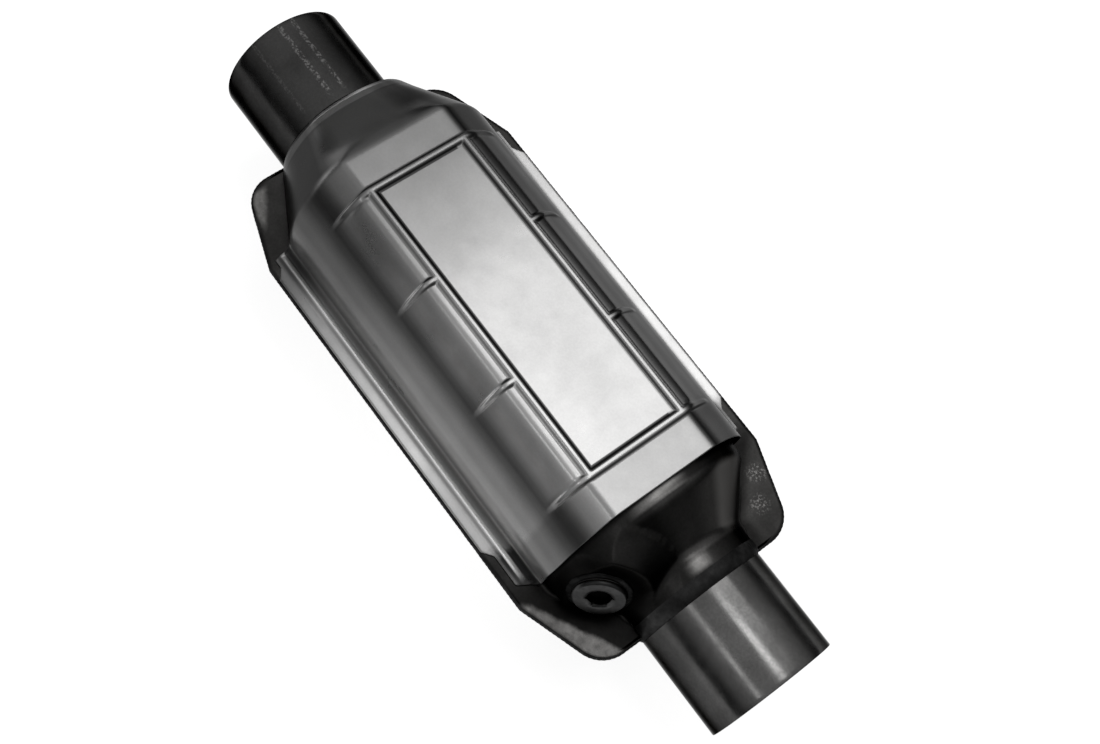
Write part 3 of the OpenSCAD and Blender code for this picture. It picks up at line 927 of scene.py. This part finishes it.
# The share that a tube keeps, with painted shade darkest at its edges
TUBE_FLANK_SHADE = ((0, 0.14), (0.3, 0.14), (0.6, 0.18), (0.72, 0.28), (0.80, 0.62), (0.86, 1), (1, 1))
# The share that a weld keeps, with painted shade on its flanks
WELD_FLANK_SHADE = ((0, 0.5), (1, 1))
FAR_SIDE_LOSS = 0.18
BLUE_SHARE = 2.2
STEEL_TINT = 0.35
STAIN_EDGE = (0.36, 0.64)
NOISE_EDGE = (0.3, 0.7)
GRAIN_LEVELS = (0.9, 1.08)
GLOSS_SWING = 0.05
GLOSS_FINER = 1.7
GRAIN_BUMP = 0.2


def steel(name, tone, dark, rough, flank_shade=FLANK_SHADE, cloud=35, grain=900, bump_mm=0.015, warmth=0.015,
          metal=1, marks=None):
    """Steel with cloudy stains, fine grain, uneven gloss and painted shade on faces that look less far up.
    Marks by place are added by a function.
    """
    m = bpy.data.materials.new(name)
    kit = Nodes(m)
    fine = kit.noise(grain, 3, 0.6)
    stain = kit.ramp(kit.noise(cloud, 6, 0.6), *STAIN_EDGE)
    level = kit.times(kit.mix(stain, dark, tone), kit.ramp(fine, *NOISE_EDGE, *GRAIN_LEVELS))
    # Painted shade by how far the face looks up
    if flank_shade:
        level = kit.times(level, kit.curve(kit.upright(), flank_shade))
    if marks:
        level = marks(kit, level, kit.measures())
    gloss = kit.noise(cloud * GLOSS_FINER, 5, 0.6)
    gloss = kit.ramp(gloss, *NOISE_EDGE, rough - GLOSS_SWING, rough + GLOSS_SWING)
    paint(kit, finish(kit, fine, bump_mm, GRAIN_BUMP, gloss, STEEL_TINT, metal), level, warmth)
    return m


# Tone of the shield by degrees from its middle, positive on the side of the port: painted light and shade,
# bright on the flat top and in highlight bands beside its folds, darker down the sides
SHIELD_LIGHT_TONES = (
    (-100, 0.24), (-84, 0.10), (-60, 0.065), (-50, 0.07), (-40, 0.11), (-35, 0.15), (-31, 0.075),
    (-29, 0.32), (-27, 0.76), (-24, 0.82), (0, 0.82), (27, 0.86), (31, 0.98), (40, 0.95), (42, 0.74),
    (44, 0.50), (47, 0.25), (50, 0.13), (53, 0.095), (57, 0.09), (61, 0.13), (65, 0.17), (70, 0.175),
    (76, 0.27), (80, 0.48), (84, 0.80), (88, 0.80), (100, 0.40))
# Tone of its cone in the same way, painted shade that darkens its sides
CONE_SHADE_TONES = (
    (-100, 0.02), (-45, 0.02), (-30, 0.035), (-24, 0.08), (-18, 0.17), (-12, 0.28), (0, 0.30), (18, 0.30),
    (25, 0.31), (33, 0.19), (38, 0.08), (43, 0.045), (70, 0.04), (100, 0.05))
# Tone of its ledge by distance from the middle plane in mm: painted shade in the corner, painted highlight
# on the bead
LEDGE_LIGHT_TONES = ((54, 0.45), (56.5, 0.22), (57.6, 0.36), (58.4, 1), (60.2, 1), (61.2, 0.50), (62.5, 0.66))
# Share kept along its length in mm: painted shade, darker towards the inlet
SHIELD_SHADE_ALONG = (
    (-104, 0.50), (-83, 0.52), (-73, 0.56), (-55, 0.60), (-28, 0.78), (-10, 0.91), (28, 0.95), (58, 1),
    (74.5, 1), (77.5, 0.74), (96, 0.76))
# Share kept on the flanks of ribs, by how far a face agrees with the sheet without ribs, as painted shade
RIB_FLANK_SHADE = ((0, 0.14), (0.68, 0.14), (0.78, 0.30), (0.88, 0.80), (0.94, 1), (1, 1))
# Tone of the strip on the side of the port, along its length from 0 to 1: painted light, lower than on the
# far strip
PORT_STRIP_LIGHT_TONES = ((0, 0.22), (0.12, 0.50), (0.35, 0.66), (0.7, 0.76), (1, 0.5))

# Where on the shield its cone, its ledge and its strips are
ON_CONE = (("x", -99, -103),)
ON_LEDGE = (("across", 54.5, 55.2), ("height", 7.5, 6))
ON_STRIP = (("across", 61.6, 63.4), ("height", 7.5, 6))
OFF_FLAT = (26.5, 31)
BELOW_RIBS = (16, 12)
SIDES = (-1, 1)
# Painted shade as a dark line round the panel, by distance from the crest of its rib, fainter on the far
# side
PANEL_SHADE_LINE = (("from_rib", 1.9, 3, 0.5), ("y", 20, 19, 0.4, 1))
PANEL_SHADE_LINE_SHARE = 0.14
# Painted highlight on the lip at the end of the cone, with one painted glint on it
LIP = (("x", -131.5, -128, 1),)
LIP_HIGHLIGHT_SHARE = 1.8
GLINT = (("degrees", -9, -1, 8),)
GLINT_SHARE = 3
# Soot at both ends of the feet, with an uneven edge, in which the bead's crest keeps its painted highlight
SOOT = (("x", -90, -60, 0.22, 1), ("from_outlet", 68, 73, 1, 0.10))
STRIP_SOOT = (("from_outlet", 66, 74, 1, 0.35),)
SOOT_UNEVEN = (12, 110, 5, 0.65)
CREST_HIGHLIGHT = (("across", 58.4, 60.2, 0.8), ("x", 89, 74), ("x", -94, -60, 0.45, 1))
PORT_STRIP = (-92, 72)
# Tone of the far strip along X, painted light that keeps it brighter than the strip on the side of the port
FAR_STRIP_LIGHT = (-40, 10, 0.88, 1)
# The wall of the foot is dull, less like metal
DULL_WALL = (("height", 16, 7), ("across", 50, 53), ("across", 58.6, 57))
DULL_METAL = 0.45
# Clouds, grain and gloss of the sheet
SHEET_CLOUD = (38, 5, 0.6)
SHEET_CLOUD_LEVELS = (0.35, 0.65, 0.955, 1.02)
SHEET_GRAIN = (1100, 2, 0.5)
SHEET_GRAIN_LEVELS = (0.3, 0.7, 0.97, 1.02)
SHEET_GLOSS = (45, 5, 0.6)
SHEET_ROUGHNESS = (0.3, 0.7, 0.27, 0.33)
SHEET_DENTS = (300, 3, 0.5)
SHEET_BUMP = (0.012, 0.12)
SHEET_TINT = 0.5
SHEET_WARMTH = 0.004


def panel_tone(kit, at):
    """Tone of the top and sides of a shield, painted light and shade by degrees and along its length, with
    painted shade on its rib flanks, in its panel's line and on its cone, and a painted highlight on its
    lip.
    """
    x, degrees = at["x"], at["degrees"]
    # Painted light and shade by degrees round the shield and along its length
    tone = kit.times(kit.spread(degrees, SHIELD_LIGHT_TONES), kit.spread(x, SHIELD_SHADE_ALONG))
    cone = kit.area(at, ON_CONE)
    no_ribs = kit.most(cone, kit.ramp(at["height"], *BELOW_RIBS))
    off_flat = kit.ramp(kit.size(degrees), *OFF_FLAT)
    # Painted shade on the flanks of the ribs
    tone = kit.times(tone, kit.curve(kit.facing(kit.times(at["turn"], off_flat), no_ribs), RIB_FLANK_SHADE))
    middle = (RIB_STATIONS[0] + RIB_STATIONS[-1]) / 2
    from_ends = kit.minus(RIB_STATIONS[-1] - middle, kit.size(kit.minus(x, middle)))
    at["from_rib"] = kit.math("MINIMUM", from_ends, kit.minus(RIB_Y, at["across"]))
    # Painted shade as a dark line round the panel
    tone = kit.scaled(tone, kit.area(at, PANEL_SHADE_LINE), PANEL_SHADE_LINE_SHARE)
    # Painted highlight on the lip, with a painted glint
    lip = kit.times(kit.area(at, LIP), kit.mix(kit.area(at, GLINT), 1, GLINT_SHARE))
    # The cone takes its own painted shade by degrees
    return kit.mix(cone, tone, kit.scaled(kit.spread(degrees, CONE_SHADE_TONES), lip, LIP_HIGHLIGHT_SHARE))


def foot_tone(kit, tone, at):
    """The tone with the ledge's painted shade, its bead's painted highlight and the strips' painted light
    laid over it at the feet.
    """
    at["from_outlet"] = kit.plus(at["x"], kit.uneven(*SOOT_UNEVEN))
    # The bead's crest keeps its painted highlight inside the soot
    bright = kit.most(kit.area(at, SOOT), kit.area(at, CREST_HIGHLIGHT))
    # Painted shade in the ledge's corner and a painted highlight on its bead
    tone = kit.mix(kit.area(at, ON_LEDGE), tone, kit.times(kit.spread(at["across"], LEDGE_LIGHT_TONES), bright))
    # Painted light on the strips, lower on the side of the port
    port_strip = kit.curve(kit.ramp(at["x"], *PORT_STRIP), PORT_STRIP_LIGHT_TONES)
    strip = kit.mix(kit.ramp(at["y"], *SIDES), port_strip, kit.ramp(at["x"], *FAR_STRIP_LIGHT))
    return kit.mix(kit.area(at, ON_STRIP), tone, kit.times(strip, kit.area(at, STRIP_SOOT)))


def shield_material(name):
    """Satin sheet: painted bright on the flats, with painted shade down the sides and painted light on the
    strips on the flange.
    """
    m = bpy.data.materials.new(name)
    kit = Nodes(m)
    at = kit.measures(SHIELD_LIFT)
    tone = foot_tone(kit, panel_tone(kit, at), at)
    cloud = kit.ramp(kit.noise(*SHEET_CLOUD), *SHEET_CLOUD_LEVELS)
    grain = kit.ramp(kit.noise(*SHEET_GRAIN), *SHEET_GRAIN_LEVELS)
    rough = kit.ramp(kit.noise(*SHEET_GLOSS), *SHEET_ROUGHNESS)
    metal = kit.mix(kit.area(at, DULL_WALL), 1, DULL_METAL)
    shader = finish(kit, kit.noise(*SHEET_DENTS), *SHEET_BUMP, rough, SHEET_TINT, metal)
    paint(kit, shader, kit.times(tone, cloud, grain), SHEET_WARMTH)
    return m


# The shell's plates, and the soot on them round the port
ON_PLATE = ("height", 2.2, 1.7)
PORT_SOOT = (ON_PLATE, ("x", 60, 80), ("y", 0, -10))
PORT_SOOT_SHARE = 0.5
# Clear metal of the ears on the side of the port, beyond slanted lines with an uneven edge, each given by a
# place along X and a slope: depth is the distance to that side
CLEAR_UNEVEN = (5, 110, 5, 0.6)
OUTLET_LINE = (94, 0.553)
OUTLET_CLEAR = (("outlet_line", 64, 67), ("x", 93, 98))
INLET_LINE = (-131, -0.7)
INLET_CLEAR = (("inlet_line", 44.5, 48.5), ("x", -131, -112, 3), ("depth", 59.5, 56))
INLET_CLEAR_SHARE = 0.5
CLEAR_GRAIN = (240, 6, 0.7)
CLEAR_LEVELS = (0.3, 0.7, 0.30, 0.58)
# Specks of spatter in two patches on the outlet ear on the far side
SPECK_CENTRES = ((108, 57, 1.5), (120, 49, 1.5))
SPECK_PATCH = (1.5, 5)
SPECK_NOISE = (800, 4, 0.7)
SPECK_EDGE = (0.50, 0.62)
SPECK_TONE = 0.26
# Darker in the corner between that ear and its cone, by distance from the cone's foot
CORNER_FOOT = (143, 0.909)
CORNER_DARKER = (ON_PLATE, ("from_foot", 10, 3), ("x", 80, 95))
CORNER_SHARE = 0.35
# Painted highlights on the shoulder beyond the shield and on the outlet neck
SHOULDER_HIGHLIGHT = (("x", 95.3, 97.6, 1.6), ("y", -13, 3, 9), ("z", 20, 26))
NECK_LIGHT = (("x", 126, 128.6, 2.4), ("y", -3.5, -2, 7), ("z", 20, 26))
CATCH_SHARE = 5
# Painted light makes the outlet cone brighter away from the port, and a painted reflection makes a lighter
# wedge far round
CONE_PAINTED_LIGHT = (("x", 99, 123, 2), ("degrees", 16, 4), ("z", 3, 8))
CONE_PAINTED_LIGHT_SHARE = 2.4
WEDGE_REFLECTION = (("x", 101, 120, 3), ("degrees", -50, -34, 12))
WEDGE_REFLECTION_TONE = 0.07
# The pressed seat round the port is painted darker, painted shade that dims its reflection, with a painted
# highlight on part of a faint ring at its foot
SEAT_SPOT = (17, 6)
SEAT_SHADE_SHARE = 0.42
RING_OUTSIDE = (20.6, 1)
RING_INSIDE = (18.6, 1)
RING_LEAN = (8, 18)
RING_HIGHLIGHT_SHARE = 2.4


def ear_level(kit, level, at):
    """The level with soot, clear metal and specks laid over the flange plates, and darker by the outlet
    cone's foot.
    """
    x, y = at["x"], at["y"]
    plate = kit.area(at, [ON_PLATE])
    level = kit.scaled(level, kit.area(at, PORT_SOOT), PORT_SOOT_SHARE)
    at["depth"] = kit.minus(kit.times(y, -1), kit.uneven(*CLEAR_UNEVEN))
    for name, (start, slope) in (("outlet_line", OUTLET_LINE), ("inlet_line", INLET_LINE)):
        at[name] = kit.plus(kit.times(kit.minus(x, start), slope), at["depth"])
    clear = kit.most(kit.area(at, OUTLET_CLEAR), kit.times(kit.area(at, INLET_CLEAR), INLET_CLEAR_SHARE))
    bright = kit.ramp(kit.noise(*CLEAR_GRAIN), *CLEAR_LEVELS)
    level = kit.mix(kit.times(clear, plate), level, bright)
    patches = kit.most(*[kit.spot(at, centre, *SPECK_PATCH) for centre in SPECK_CENTRES])
    specks = kit.times(kit.ramp(kit.noise(*SPECK_NOISE), *SPECK_EDGE), patches, plate)
    level = kit.mix(specks, level, SPECK_TONE)
    foot = kit.most(kit.minus(CORNER_FOOT[0], kit.times(x, CORNER_FOOT[1])), NECK_R)
    at["from_foot"] = kit.minus(y, foot)
    # Darker near the cone's foot
    return kit.scaled(level, kit.area(at, CORNER_DARKER), CORNER_SHARE)


def outlet_level(kit, level, at):
    """The level with painted highlights on shoulder and neck, painted light on the outlet cone away from
    the port and a painted reflection as a wedge.
    """
    lights = kit.most(kit.area(at, SHOULDER_HIGHLIGHT), kit.area(at, NECK_LIGHT))
    # Painted highlights on the shoulder and neck
    level = kit.scaled(level, lights, CATCH_SHARE)
    # Painted light on the outlet cone away from the port, and a painted reflection as a wedge
    level = kit.scaled(level, kit.area(at, CONE_PAINTED_LIGHT), CONE_PAINTED_LIGHT_SHARE)
    return kit.mix(kit.area(at, WEDGE_REFLECTION), level, WEDGE_REFLECTION_TONE)


def seat_level(kit, level, at):
    """The level with painted shade on the seat round the port, and a painted highlight on part of a ring at
    its foot.
    """
    port = port_frame()
    centre = port[0]
    # Painted shade that dims the seat's reflection
    level = kit.scaled(level, kit.spot(at, centre + SEAT_RISE * port[3], *SEAT_SPOT), SEAT_SHADE_SHARE)
    band = kit.minus(kit.spot(at, centre, *RING_OUTSIDE), kit.spot(at, centre, *RING_INSIDE))
    lean = kit.minus(kit.minus(at["y"], at["x"]), float(centre[1] - centre[0]))
    # Painted highlight on part of a ring at the seat's foot
    return kit.scaled(level, kit.times(band, kit.ramp(lean, *RING_LEAN)), RING_HIGHLIGHT_SHARE)


def shell_marks(kit, level, at):
    """Scorched shell whose ears show clear metal away from the cones, with painted light, shade and a
    reflection on the outlet cone and its seat.
    """
    for change in (outlet_level, ear_level, seat_level):
        level = change(kit, level, at)
    return level


# The pipes have painted shade towards the inlet, and rows of dotted painted highlights near its end, by
# degrees round the pipe
PIPE_INLET_SHADE = (("x", -135, 120, 0.46, 1),)
HIGHLIGHT_ROWS = ((-8, -5.5, 1.2, 1), (4.5, 7.5, 1.2, 1), (32, 34, 1, 0.4))
HIGHLIGHT_DOTS = (1000, 3, 0.6)
HIGHLIGHT_DOTS_EDGE = (0.46, 0.60)
HIGHLIGHT_ROWS_END = (("x", -140, -146),)
HIGHLIGHT_ROWS_TONE = 0.42


def pipe_marks(kit, level, at):
    """Tube with painted shade towards the inlet and dotted lines of painted highlight near the inlet end.
    """
    # Painted shade towards the inlet
    level = kit.times(level, kit.area(at, PIPE_INLET_SHADE))
    rows = 0
    # Rows of dotted painted highlights near the inlet end
    for *band, share in HIGHLIGHT_ROWS:
        rows = kit.most(rows, kit.times(kit.inside(at["degrees"], *band), share))
    dots = kit.ramp(kit.noise(*HIGHLIGHT_DOTS), *HIGHLIGHT_DOTS_EDGE)
    return kit.mix(kit.times(rows, dots, kit.area(at, HIGHLIGHT_ROWS_END)), level, HIGHLIGHT_ROWS_TONE)


# Welds are darkest within this distance of the port
WELD_SOOT = (18, 2)
WELD_SOOT_SHARE = 0.45


def weld_marks(kit, level, at):
    """Bead that is darkest round the port."""
    return kit.scaled(level, kit.spot(at, port_frame()[0], *WELD_SOOT), WELD_SOOT_SHARE)


# Painted shade in the socket's inside, and a painted glint on its wall, as distances from the plug's top
# and its axis
HOLE_DEPTH = 4.6
HOLE_SPOT = (6.2, 0.5)
HOLE_SHADE_TONE = 0.006
SOCKET_GLINT_DEPTH = 2.6
SOCKET_GLINT_AT = (4.4, 1.6)
SOCKET_GLINT_SPOT = (1, 0.5)
SOCKET_GLINT_GRAIN = 900
SOCKET_GLINT_EDGE = (0.45, 0.55)
SOCKET_GLINT_TONE = 0.9


def plug_marks(kit, level, at):
    """Plug with painted shade in its socket and one painted glint on its wall."""
    o, u, v, w = port_frame()
    hole = o + (PLUG_TOP - HOLE_DEPTH) * w
    # Painted shade in the socket
    level = kit.mix(kit.spot(at, hole, *HOLE_SPOT), level, HOLE_SHADE_TONE)
    # A painted glint on the socket's wall
    socket_glint = o + (PLUG_TOP - SOCKET_GLINT_DEPTH) * w + SOCKET_GLINT_AT[0] * u + SOCKET_GLINT_AT[1] * v
    grain = kit.ramp(kit.noise(SOCKET_GLINT_GRAIN), *SOCKET_GLINT_EDGE)
    return kit.mix(kit.times(kit.spot(at, socket_glint, *SOCKET_GLINT_SPOT), grain), level, SOCKET_GLINT_TONE)


# Looks that start from steel, by the values in which they differ from it
STEEL_LOOKS = {
    "shell_steel": dict(tone=0.075, dark=0.045, rough=0.33, cloud=30, warmth=0.02, marks=shell_marks),
    "pipe_steel": dict(tone=0.33, dark=0.25, rough=0.20, flank_shade=TUBE_FLANK_SHADE, cloud=40, warmth=0.01,
                       marks=pipe_marks),
    "weld_steel": dict(tone=0.065, dark=0.035, rough=0.48, flank_shade=WELD_FLANK_SHADE, cloud=120, grain=420,
                       bump_mm=0.10, warmth=0, marks=weld_marks),
    "bung_steel": dict(tone=0.12, dark=0.07, rough=0.36, cloud=80),
    "plug_steel": dict(tone=0.062, dark=0.048, rough=0.38, flank_shade=None, cloud=150, warmth=0,
                       marks=plug_marks),
    "brick_ceramic": dict(tone=0.62, dark=0.50, rough=0.85, flank_shade=None, cloud=120, warmth=0.1, metal=0),
    "mat_fibre": dict(tone=0.72, dark=0.60, rough=0.9, flank_shade=None, cloud=150, grain=1500, bump_mm=0.1,
                      warmth=0.05, metal=0),
    "seal_wire": dict(tone=0.45, dark=0.25, rough=0.4, flank_shade=None, cloud=200, grain=1500, bump_mm=0.15),
    "gasket_copper": dict(tone=0.5, dark=0.35, rough=0.35, flank_shade=None, cloud=100, warmth=0.2),
}
# Looks of the inner nodes, which keep their own shape at both ends
INNER_LOOKS = {"brick": "brick_ceramic", "mat": "mat_fibre", "seal": "seal_wire"}


# Stage

def make_floor():
    """Pale floor at the part's lowest point, which looks white to the camera and in reflections."""
    z = cad_box[0][2]
    a = FLOOR_HALF_M
    mesh = bpy.data.meshes.new("floor")
    mesh.from_pydata([(-a, -a, z), (a, -a, z), (a, a, z), (-a, a, z)], [], [(0, 1, 2, 3)])
    floor = in_scene("floor", mesh)
    m = bpy.data.materials.new("floor")
    kit = Nodes(m)
    path = kit.add("ShaderNodeLightPath").outputs
    seen = kit.most(kit.most(path["Is Camera Ray"], path["Is Glossy Ray"]), path["Is Transmission Ray"])
    diffuse = kit.add("ShaderNodeBsdfDiffuse", {"Color": grey(FLOOR_TONE)})
    glow = kit.add("ShaderNodeEmission", {"Strength": kit.times(seen, FLOOR_GLOW)})
    both = kit.add("ShaderNodeAddShader", {0: diffuse.outputs["BSDF"], 1: glow.outputs["Emission"]})
    kit.show(both.outputs["Shader"])
    floor.data.materials.append(m)


def area_light(name, place, target, size, radiance):
    """Rectangular lamp in mm whose face has the given radiance."""
    lamp = bpy.data.lights.new(name, "AREA")
    lamp.shape = "RECTANGLE"
    lamp.size = size[0] * MM
    lamp.size_y = size[1] * MM
    lamp.energy = radiance * math.pi * lamp.size * lamp.size_y
    obj = in_scene(name, lamp)
    z = (Vector(place) - Vector(target)).normalized()
    x = Vector((1, 0, 0))
    x = (x - z * x.dot(z)).normalized()
    y = z.cross(x)
    obj.matrix_world = Matrix.Translation(Vector(place) * MM) @ Matrix((x, y, z)).transposed().to_4x4()


def make_world():
    """Soft light that grows from the horizon up."""
    world = bpy.data.worlds.new("studio")
    bpy.context.scene.world = world
    kit = Nodes(world)
    direction = kit.add("ShaderNodeTexCoord").outputs["Generated"]
    up = kit.add("ShaderNodeSeparateXYZ", {0: direction}).outputs["Z"]
    level = kit.ramp(up, *WORLD_RISE, WORLD_LOW, WORLD_HIGH)
    back = kit.add("ShaderNodeBackground", {"Strength": level})
    kit.show(back.outputs["Background"], "ShaderNodeOutputWorld")


def make_camera():
    """Camera at the photograph's place, from a turn and shift of the part and a roll of the picture."""
    a = Vector(CAM_TURN)
    towards = Matrix(((1, 0, 0), (0, -1, 0), (0, 0, -1)))
    m = Matrix.Rotation(a.length, 3, a.normalized()) @ towards
    place = -(m.transposed() @ Vector(CAM_SHIFT))
    c, s = math.cos(CAM_ROLL), math.sin(CAM_ROLL)
    right = c * m.row[0] - s * m.row[1]
    down = s * m.row[0] + c * m.row[1]
    data = bpy.data.cameras.new("camera")
    data.sensor_fit = "HORIZONTAL"
    data.sensor_width = SENSOR_W
    data.lens = CAM_FOCAL * SENSOR_W / IMAGE_W
    data.clip_start, data.clip_end = CAM_CLIP_M
    cam = in_scene("camera", data)
    axes = Matrix((right, -down, -m.row[2])).transposed().to_4x4()
    cam.matrix_world = Matrix.Translation(place * MM) @ axes
    bpy.context.scene.camera = cam


# Pieces

looks = {name: steel(name, **values) for name, values in STEEL_LOOKS.items()}
looks["shield_steel"] = shield_material("shield_steel")

adopt(heat_shield("shield_upper", 1, 5), "shield_steel", "upper_heat_shield")
adopt(heat_shield("shield_lower", -1, 11), "shield_steel", "lower_heat_shield")
adopt(shell_half("shell_upper", 1, True, 4), "shell_steel", "upper_shell")
adopt(shell_half("shell_lower", -1, False, 2), "shell_steel", "lower_shell")
adopt(pipe_piece("pipe_inlet", -1), "pipe_steel", "inlet_pipe")
adopt(pipe_piece("pipe_outlet", 1), "pipe_steel", "outlet_pipe")
adopt(neck_weld("weld_inlet", -1, 2), "weld_steel", "inlet_weld")
adopt(neck_weld("weld_outlet", 1, 7), "weld_steel", "outlet_weld")
adopt(flange_weld("seam_left", 1, 1), "weld_steel", "left_flange_weld")
adopt(flange_weld("seam_right", -1, 4), "weld_steel", "right_flange_weld")
adopt(bung_piece(), "bung_steel", "sensor_bung")
adopt(bung_bead(9), "weld_steel", "bung_weld")
adopt(washer_piece(), "gasket_copper", "plug_gasket")
adopt(plug_piece(), "plug_steel", "sensor_plug")
for inner, look in INNER_LOOKS.items():
    for end in ("front_", "rear_"):
        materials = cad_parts[end + inner].data.materials
        materials.clear()
        materials.append(looks[look])

make_floor()
make_world()
for lamp in LAMPS:
    area_light(*lamp)
make_camera()
bpy.context.scene.view_settings.view_transform = "Standard"
